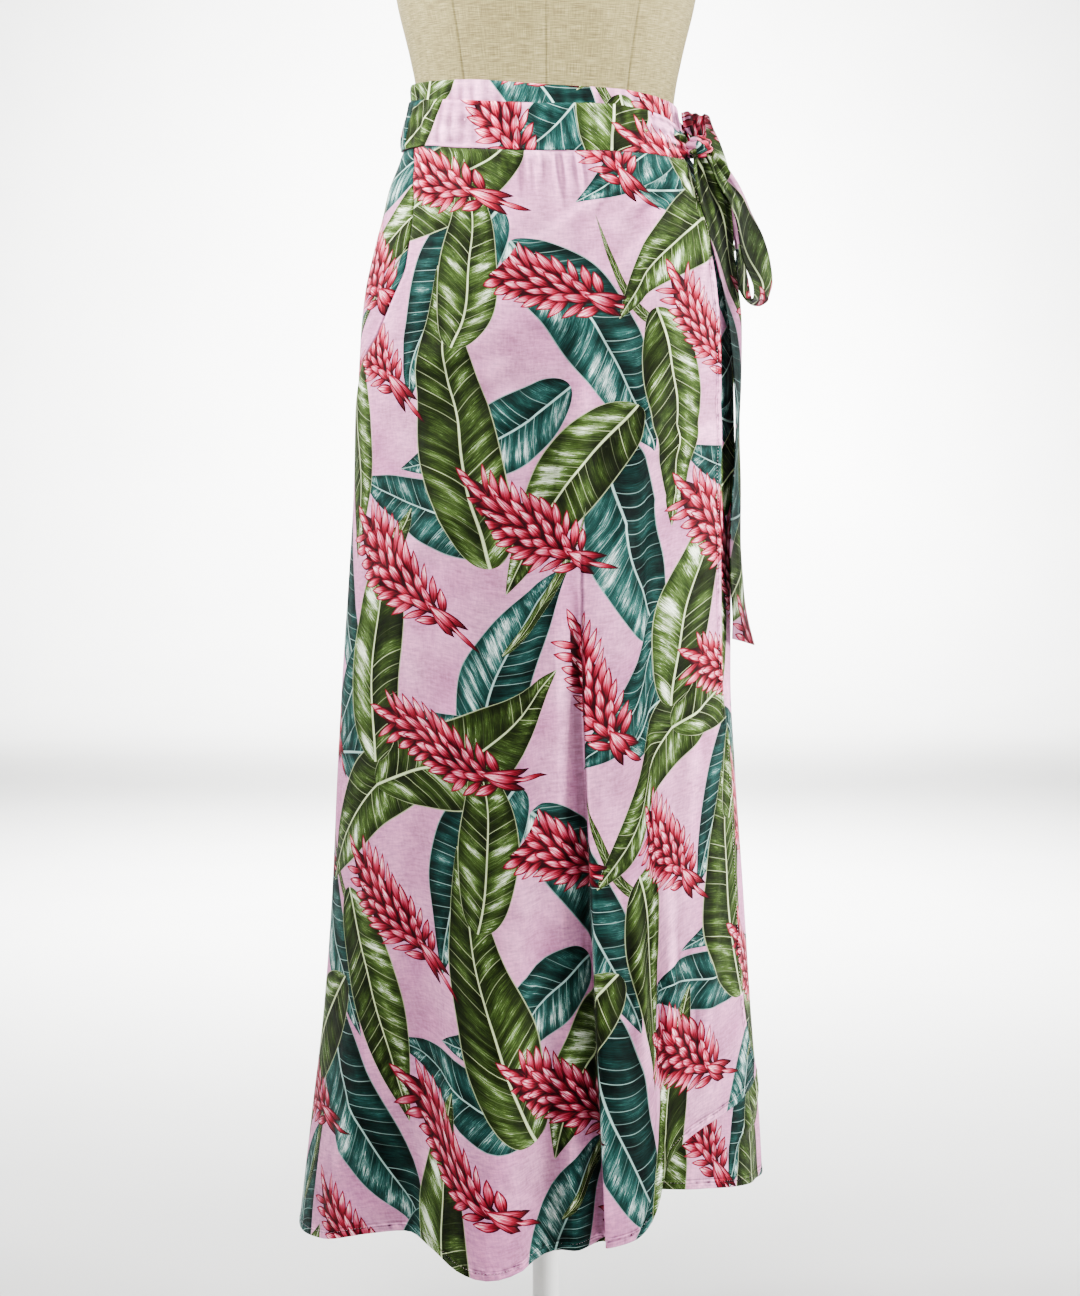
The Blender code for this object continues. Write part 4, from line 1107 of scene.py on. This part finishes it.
# %% Bow tables
Stop = namedtuple("Stop", "x y z width turn")
TAIL_LONG = read_rows(Stop, """
    138.5 -22.5 1144 10 30, 142 -29 1131 23 32, 147.2 -32.5 1114 34 38, 153 -34.5 1092 36 40
    159 -34.5 1061 36 47, 166.5 -34 1022 36 62, 171.8 -33 984 36 73, 174.5 -32 918 37 76
    174.8 -32 854 37 74, 173.5 -32 790 37 77, 175.5 -32 745 37 68, 181.5 -32 697 38 52
""")
TAIL_SHORT = read_rows(Stop, """
    143 -18 1143 8 60, 159 0 1110 24 72, 166.5 8 1074 30 80, 174 11 1029 34 84, 177.5 13 974 36 88
    178 13 900 36 86, 177.5 13 826 36 88, 176.5 13 774 36 82
""")
LOOP_FRONT = read_rows(Stop, """
    140 -19 1145 9 48, 149 -24.5 1137.5 16 48, 157.5 -27 1125 26 48, 166.5 -24.5 1110 32 49
    176 -23 1093 35 50, 185 -22 1072 36 51, 192 -21 1044 37 52, 197.5 -19 1021 37 55
    196 -15 1009 37 60, 189 -8 1006.5 37 66, 182.8 -2 1016 36 72, 178.5 2 1038 34 76
    174.5 2 1062 32 74, 168 -2 1090 26 70, 159 -10 1117 18 64, 145 -19 1140 10 60
""")
LOOP_BACK = read_rows(Stop, """
    139 -20 1148 9 16, 137.5 -22 1157 15 16, 134 -23 1168 21 16, 133.5 -17 1177.5 23.5 22
    140.5 -5 1175.5 25 38, 148.5 7 1163 27 54, 157.5 17 1142 29 62, 170 25.5 1114 31 66
    179 31.5 1087 32 70, 181.5 38 1066 32 76, 176 45 1060 32 84, 168.5 46 1076 31 90
    162.5 40 1104 24 92, 155 24 1131 14 92, 144.5 -4.5 1147 8 92
""")
Strap = namedtuple("Strap", "node slot stops slant pleats depth both_ends print_at")
STRAPS = (
    Strap("tail_long", GREEN, TAIL_LONG, 0.008, 3.0, 0.0026, False, (0.200, 0.350, 0)),
    Strap("tail_short", TEAL, TAIL_SHORT, -0.006, 2.5, 0.0020, False, (0.165, 0.30, 0)),
    Strap("loop_front", GREEN, LOOP_FRONT, 0.0, 2.5, 0.0032, True, (0.345, 0.41, 0)),
    Strap("loop_back", RED, LOOP_BACK, 0.0, 2.5, 0.0026, True, (0.205, 0.43, 0)),
)


# %% [markdown]
# The bow hangs in its own shade, so shade is painted over its cloth as a whole: its colour is
# darkened a little.

# %% Straps
SQUEEZED_STOPS = 5.0
BOW_WALL = 1.1 * MM
BOW_ROUND = 0.4 * MM
# painted shade over the whole bow, on top of the painted shade in its creases
BOW_PAINTED_SHADE = 1.3
STRAP_CURL = 0.4 * MM
Place = namedtuple("Place", "at x y z width turn")


def strap_rows(strap, per_stop=8, columns=26):
    table = [Place(float(i), *stop) for i, stop in enumerate(strap.stops)]
    x_at, y_at, z_at, width_at, turn_at = (
        curve_through(table, "at", name) for name in ("x", "y", "z", "width", "turn"))
    last = len(strap.stops) - 1
    rows = []
    for at in evenly(0, last, per_stop * last + 1):
        here = Vector((x_at(at), y_at(at), z_at(at)))
        before, after = max(at - 0.1, 0.0), min(at + 0.1, last)
        ahead = Vector([column(after) - column(before) for column in (x_at, y_at, z_at)])
        turn = radians(turn_at(at))
        across = Vector((cos(turn), sin(turn), 0.0))
        facing = ahead.cross(across).normalized()
        squeezed = 1 - smoothstep(0.3, SQUEEZED_STOPS, at)
        if strap.both_ends:
            squeezed = max(squeezed, 1 - smoothstep(0.3, SQUEEZED_STOPS, last - at))
        soft = 0.25 + 0.75 * squeezed
        row = []
        for u in evenly(0, 1, columns):
            side = (u - 0.5) * width_at(at)
            drop = strap.slant * (u - 0.5) * smoothstep(last - 1, last, at)
            pleat = sin(2 * pi * strap.pleats * u + 0.35 * at) * squeezed
            sway = sin(1.9 * at + 3.0 * u) * (1 - squeezed) * smoothstep(0.0, 1.0, last - at + 0.4)
            valley = cos(2 * pi * (u + 0.04 * at)) * (0.3 + 0.7 * squeezed)
            curl = -1.6 * (2 * u - 1) ** 4 * soft
            lift = strap.depth * (0.8 * pleat + 0.7 * sway + 0.5 * valley) + STRAP_CURL * curl
            row.append(here + side * across + lift * facing - Vector((0, 0, drop)))
        rows.append(row)
    return rows


for strap in STRAPS:
    piece = make_sheet(strap.node + "_cloth", strap_rows(strap), strap.print_at, BOW_WALL,
                       offset=0.0, painted_shade=BOW_PAINTED_SHADE)
    round_edges(piece, BOW_ROUND)
    finish_piece(piece, strap.node)

# %% [markdown]
# The knot is the tie wrapped once round its own crossing.  It is made as a strip that goes a little
# more than once round the upright axis, squeezed into pleats, and drawn in at its top and bottom.

# %% The knot
KNOT_CENTRE = Vector((0.1388, -0.0265, 1.1462))
KNOT_RADII = (0.0112, 0.0138, 0.0100)
KNOT_WALL = 0.9 * MM
KNOT_ROUND = 0.3 * MM
# below 0, so the painted shade in the knot's creases is eased and the knot is painted a little
# lighter
KNOT_PAINTED_SHADE = -0.15
KNOT_TURN = 400
KNOT_WRAPS = 4
KNOT_PUFF = 0.26
KNOT_START = -60
KNOT_DRAWN_IN = 86  # degrees from the middle of the strip to each drawn-in end


def knot_rows(steps=56, columns=96):
    rows = []
    for v in evenly(0, 1, steps):
        tilt = radians(mix(-KNOT_DRAWN_IN, KNOT_DRAWN_IN, v))
        row = []
        for angle in evenly(KNOT_START, KNOT_START + KNOT_TURN, columns):
            turn = radians(angle)
            wrap = v + 0.10 * sin(turn - 0.7)
            puffed = KNOT_PUFF * (abs(sin(pi * KNOT_WRAPS * wrap)) - 0.5) * cos(tilt) ** 0.5
            puffed += 0.03 * sin(7 * turn + 9 * v)
            layer = 0.95 + 0.05 * (angle - KNOT_START) / KNOT_TURN
            reach = cos(tilt) * layer + puffed * cos(tilt)
            rise = sin(tilt) * (1 + 0.5 * puffed) + 0.08 * sin(turn + 0.6) * cos(tilt)
            row.append(KNOT_CENTRE + Vector((
                KNOT_RADII[0] * reach * sin(turn), -KNOT_RADII[1] * reach * cos(turn),
                -KNOT_RADII[2] * rise)))
        rows.append(row)
    return rows


knot = make_sheet("knot_cloth", knot_rows(), (0.100, 0.43, 80), KNOT_WALL, painted_shade=KNOT_PAINTED_SHADE)
round_edges(knot, KNOT_ROUND)
finish_piece(knot, "knot")


# %% [markdown]
# ## Stitching
# The hems and the free edge are sewn with a machine lockstitch.  The bands are sewn from inside, so
# no stitch of theirs shows.  A stitch is a short thread that dips into the cloth at both ends, so
# each one here is a small spindle, and a run of stitches follows the sewn line a fixed distance
# inside the edge.

# %% Stitches
STITCH_PITCH = 3.0 * MM
STITCH_LONG = 2.3 * MM
STITCH_RADIUS = 0.17 * MM
STITCH_PROUD = 0.04 * MM


def evenly_spaced(path, pitch):
    """Points at equal steps along a path, each with the path's direction there."""
    points = np.array([tuple(point) for point in path])
    steps = np.linalg.norm(np.diff(points, axis=0), axis=1)
    run = np.concatenate([[0.0], np.cumsum(steps)])
    places = np.arange(pitch / 2, run[-1], pitch)
    middles, heads, tails = (
        np.stack([np.interp(places + shift, run, points[:, k]) for k in range(3)], 1)
        for shift in (0.0, pitch / 2, -pitch / 2))
    return [(Vector(m), Vector(h - t).normalized()) for m, h, t in zip(middles, heads, tails)]


def sew(name, path, on):
    points, faces = [], []
    for middle, along in evenly_spaced(path, STITCH_PITCH):
        outward = Vector((middle.x, middle.y, 0)).normalized()
        side = along.cross(outward).normalized()
        outward = side.cross(along)
        middle = middle + STITCH_PROUD * outward
        first = len(points)
        points += [middle - along * STITCH_LONG / 2, middle + along * STITCH_LONG / 2]
        points += [middle + STITCH_RADIUS * (side * cos(turn) + outward * sin(turn))
                   for turn in (0, pi / 2, pi, 3 * pi / 2)]
        for k in range(4):
            a, b = first + 2 + k, first + 2 + (k + 1) % 4
            faces += [(first + 1, a, b), (first, b, a)]
    run = add_mesh(name, [tuple(point) for point in points], faces, thread)
    finish_piece(run)
    stitch_runs.setdefault(on, []).append(run)
    print(f"{name}: {len(faces) // 8} stitches")


stitch_runs = {}
thread, add, shader = new_material("cotton_thread")
strands = add("TexNoise", add("TexCoord", out=3), None, 1500.0, 2.0, 0.6)
thread_steps = ((0.3, "#c9a3b6"), (0.7, "#e4c5d3"))
finish_shader(shader, Base_Color=add("ValToRGB", strands, steps=thread_steps),
              Roughness=add("MapRange", strands, 0.3, 0.7, 0.55, 0.75),
              Normal=add("Bump", 0.3, 0.1 * MM, None, strands))


def hem_path(surface, hem_at, start, end, step=0.5):
    path = []
    for angle in np.arange(start, end, step).tolist():
        hem = hem_at(angle)
        path.append(surface(angle, hem + STITCH_INSET * hem_stretch(angle, hem, hem_at)))
    return path


def free_edge_path():
    path = []
    for height in np.arange(0.302, 1.132, 0.004).tolist():
        angle = free_edge_at(height)
        path.append(over_surface(angle - STITCH_INSET / per_degree(angle, height), height))
    return path


sew("hem_stitches_over", hem_path(over_surface, over_hem_at, -94, 79), "over_front")
sew("hem_stitches_under", hem_path(under_surface, under_hem_at, -50, 91), "under_front")
sew("hem_stitches_back", hem_path(back_surface, back_hem_at, 93, 263), "back_panel")
sew("edge_stitches_over", free_edge_path(), "over_front")

# %% [markdown]
# ## Linen
# The dress form's cover is natural linen.  Flax threads are thick and thin along their length, so
# the cloth shows short slubs, most of all across the form, and its colour is a warm grey.

# %% Linen cover
linen, add, shader = new_material("unbleached_linen")
linen_place = add("UVMap", uv_map="cloth")
across_threads = add("TexNoise", add("VectorMath MULTIPLY", linen_place, (55.0, 1500.0, 1.0)),
                     None, 1.0, 2.0, 0.6, noise_dimensions="2D")
upright_threads = add("TexNoise", add("VectorMath MULTIPLY", linen_place, (1500.0, 60.0, 1.0)),
                      None, 1.0, 2.0, 0.6, noise_dimensions="2D")
cloth_tone = add("Math MULTIPLY", across_threads, 0.65)
cloth_tone = add("Math MULTIPLY_ADD", upright_threads, 0.35, cloth_tone)
stain = add("TexNoise", linen_place, None, 9.0, 3.0, 0.5, noise_dimensions="2D")
cloth_tone = add("Math MULTIPLY_ADD", add("Math SUBTRACT", stain, 0.5), 0.18, cloth_tone)
woven = add("ValToRGB", cloth_tone, steps=((0.30, "#4c442a"), (0.5, "#6e6440"), (0.70, "#91865e")))
seam_shade = add("MapRange", add("Attribute", attribute_name="seam", out=2), 0.0, 1.0, 1.0, 0.76)
finish_shader(shader, Base_Color=add("VectorMath SCALE", woven, None, None, seam_shade),
              Roughness=add("MapRange", across_threads, 0.3, 0.7, 0.82, 0.95),
              Normal=add("Bump", 0.5, 0.35 * MM, None, cloth_tone),
              Sheen_Weight=0.04, Specular_IOR_Level=0.12)

# %% [markdown]
# ## The dress form
# The form is a hard shell padded with felt and covered in unbleached linen.  The cover is cut in
# long panels with princess seams over the bust and down the front, so each seam is a thin groove.
# The shell is lofted through the body's sections, with points crowded at the seams.

# %% Form body
Body = namedtuple("Body", "height half front back")
BODY_SECTIONS = read_rows(Body, """
    865 143 94 108, 885 157 107 121, 930 164.5 113 129, 970 164.5 112 129, 1010 160.5 110 124
    1050 151.5 105 114, 1090 139 98 101, 1125 127.5 90 90, 1155 118.5 85 84, 1180 116.3 83 82
    1200 118.5 83.5 82.5, 1230 124.5 86 84, 1280 136.2 94 88, 1330 143 104 92, 1375 148 113 96
    1420 153 110 100, 1470 160 97 100, 1515 168 82 92, 1545 164 68 80, 1568 133 58 69
    1585 90 53 62, 1605 62 52 57, 1635 56 53 55, 1660 57 55 55
""")
BUST_HEIGHT, BUST_ANGLE, BUST_LIFT, BUST_SPREAD, BUST_TALL = 1.375, 34.0, 0.016, 19.0, 0.052
BODY_BOTTOM, BODY_TOP = 0.865, 1.660
ARM_PLATE_X = 0.152
SEAM_ANGLES = (-140, -90, -38, 0, 38, 90, 140, 180)
SEAM_HEIGHTS = (0.874, 1.592)
GROOVE_DEEP = 1.1 * MM
GROOVE_WIDE = 1.0 * MM

body_at = [curve_through(BODY_SECTIONS, "height", name) for name in ("half", "front", "back")]


def groove(distance):
    return exp(-(distance / GROOVE_WIDE) ** 2)


def body_surface(angle, height):
    """A point of the form, and how near it is to a seam, from 0 to 1."""
    half, front, back = (column(height) for column in body_at)
    turn = radians(angle)
    deep = front if cos(turn) >= 0 else back
    lift = 0.0
    for side in (-BUST_ANGLE, BUST_ANGLE):
        reach = ((angle + 180) % 360 - 180 - side) / BUST_SPREAD
        lift += BUST_LIFT * exp(-reach**2 - ((height - BUST_HEIGHT) / BUST_TALL) ** 2)
    arc = radians(1) * hypot((half + lift) * cos(turn), (deep + lift) * sin(turn))
    sunk = max(groove(((angle - seam + 180) % 360 - 180) * arc) for seam in SEAM_ANGLES)
    sunk = max(sunk, *(groove(height - seam) for seam in SEAM_HEIGHTS))
    x = (half + lift) * sin(turn)
    if height > BUST_HEIGHT:
        if abs(x) > ARM_PLATE_X - 4 * GROOVE_WIDE:
            sunk = groove(abs(x) - ARM_PLATE_X + 0.5 * GROOVE_WIDE)
        x = min(max(x, -ARM_PLATE_X), ARM_PLATE_X)
    y = -(deep + lift) * cos(turn)
    inward = Vector((-sin(turn) * deep, cos(turn) * half, 0)).normalized()
    return Vector((x, y, height)) + sunk * GROOVE_DEEP * inward, sunk


def crowded(low, high, seams, spacing, near):
    """Even places from low to high, with more of them on each side of every seam."""
    places = set(np.round(np.arange(low, high + 1e-9, spacing), 5).tolist())
    for seam in seams:
        beside = [seam + near * k for k in range(-4, 5)]
        places |= {round(place, 5) for place in beside if low <= place <= high}
    kept = []
    for place in sorted(places):
        if not kept or place - kept[-1] > near * 0.45:
            kept.append(place)
    return kept


turns = crowded(-180, 179.99, SEAM_ANGLES[:-1] + (-180,), 2.5, 0.28)
heights = crowded(BODY_BOTTOM, BODY_TOP, SEAM_HEIGHTS, 0.006, 0.0006)
points, seams = zip(*[body_surface(angle, height) for height in heights for angle in turns])
around = len(turns)
faces = []
for row in range(0, (len(heights) - 1) * around, around):
    for i in range(around):
        ahead = (i + 1) % around
        faces.append((row + i, row + ahead, row + around + ahead, row + around + i))
last_row = (len(heights) - 1) * around
faces += [tuple(reversed(range(around))), tuple(range(last_row, last_row + around))]
girth = [0.0]
for i in range(around):
    girth.append(girth[-1] + METRES_PER_DEGREE * ((turns[(i + 1) % around] - turns[i]) % 360))
form_body = add_mesh("form_body", [tuple(point) for point in points], faces, linen, seam=seams)
mesh = form_body.data
uv = mesh.uv_layers.new(name="cloth")
for polygon in mesh.polygons:
    for corner in polygon.loop_indices:
        index = mesh.loops[corner].vertex_index
        i, j = index % around, index // around
        at_end = any(vertex % around == around - 1 for vertex in polygon.vertices)
        wraps = len(polygon.vertices) == 4 and i == 0 and at_end
        uv.data[corner].uv = (girth[around] if wraps else girth[i], heights[j])
finish_piece(form_body, "form_torso")
print("form body:", len(faces), "faces")

# %% [markdown]
# ## The stand
# The neck is closed with a turned maple cap, varnished.  The pole, its plate and the round base are
# steel with a white powder coat, which is fine and slightly uneven like orange peel.  Their solids
# have the right shape, so they only get their finishes.

# %% Maple and powder coat
maple, add, shader = new_material("turned_maple")
wood_place = add("TexCoord", out=3)
bent_place = add("TexNoise", wood_place, None, 12.0, 2.0, 0.5, out=1)
bent_place = add("VectorMath MULTIPLY_ADD", bent_place, (0.02, 0.02, 0.02), wood_place)
rings = add("TexWave", bent_place, 60.0, 2.0, 2.0, 2.0, 0.5,
            wave_type="BANDS", bands_direction="Y")
fibres = add("TexNoise", add("VectorMath MULTIPLY", wood_place, (30.0, 600.0, 600.0)),
             None, 1.0, 3.0, 0.6)
grain = add("Math MULTIPLY_ADD", fibres, 0.45, add("Math MULTIPLY", rings, 0.55))
wood_steps = ((0.15, "#69411f"), (0.5, "#8f6236"), (0.85, "#b08850"))
finish_shader(shader, Base_Color=add("ValToRGB", grain, steps=wood_steps),
              Roughness=add("MapRange", fibres, 0.3, 0.7, 0.34, 0.46),
              Normal=add("Bump", 0.15, 0.2 * MM, None, fibres),
              Coat_Weight=0.5, Coat_Roughness=0.15)

powder_coat, add, shader = new_material("powder_coated_steel")
coat_place = add("TexCoord", out=3)
peel = add("TexNoise", coat_place, None, 700.0, 2.0, 0.5)
dust = add("TexNoise", coat_place, None, 14.0, 4.0, 0.6)
finish_shader(shader, Base_Color=add("ValToRGB", dust, steps=((0.3, "#f2f1ee"), (0.6, "#fafaf8"))),
              Roughness=add("MapRange", dust, 0.3, 0.7, 0.50, 0.38),
              Normal=add("Bump", 0.12, 0.2 * MM, None, peel))


def refinish(node, material):
    solid = frame["nodes"][node]
    for socket in solid.material_slots:
        socket.material = material
    print(node, "has", len(solid.material_slots), "slots of", material.name)


refinish("neck_cap", maple)
for node in ("form_plate", "stand_pole", "stand_base"):
    refinish(node, powder_coat)

# %% [markdown]
# ## What each sheet is cut from
# Every cloth piece is listed with the flat size that it was cut to, and its area of cloth is
# printed beside it.  The width of a panel is its hem line laid flat, since the skirt flares from
# the waist, and the area is that of the flared piece itself.  The knot is listed in the same way:
# its longest turn, its length from top to bottom with its pleats, and the area of the drawn-in
# strip.  Hem and seam allowances are left out.

Cut = namedtuple("Cut", "node width length area held rests_on")
CUTS = (
    Cut("over_front", 0.770, 0.995, 0.470, "hung", ("waistband_over_cloth",)),
    Cut("under_front", 0.480, 0.965, 0.360, "hung", ("waistband_under_cloth",)),
    Cut("back_panel", 0.680, 1.015, 0.540, "hung", ("waistband_back_cloth",)),
    Cut("waistband_under", 0.375, 0.048, None, "stretched", ("form_body",)),
    Cut("waistband_over", 0.290, 0.043, None, "stretched", ("waistband_under_cloth",)),
    Cut("waistband_back", 0.377, 0.044, None, "stretched", ("form_body",)),
    Cut("tie_over", 0.022, 0.032, None, "gathered", ("waistband_over_cloth", "knot_cloth")),
    Cut("tie_round", 0.357, 0.036, None, "stretched", ("waistband_back_cloth", "knot_cloth")),
    Cut("loop_front", 0.037, 0.302, None, "folded", ("knot_cloth",)),
    Cut("loop_back", 0.034, 0.290, None, "folded", ("knot_cloth",)),
    Cut("tail_long", 0.037, 0.448, None, "hung", ("knot_cloth",)),
    Cut("tail_short", 0.036, 0.375, None, "hung", ("knot_cloth",)),
    Cut("knot", 0.092, 0.039, 0.0023, "folded", ("tie_over_cloth",)),
)
for cut in CUTS:
    piece = pieces[cut.node]
    one_face = sum(polygon.area for polygon in piece.data.polygons) / 2
    print(f"{cut.node}: {one_face:.4f} m2 of cloth, cut from {cut.width} x {cut.length} m")
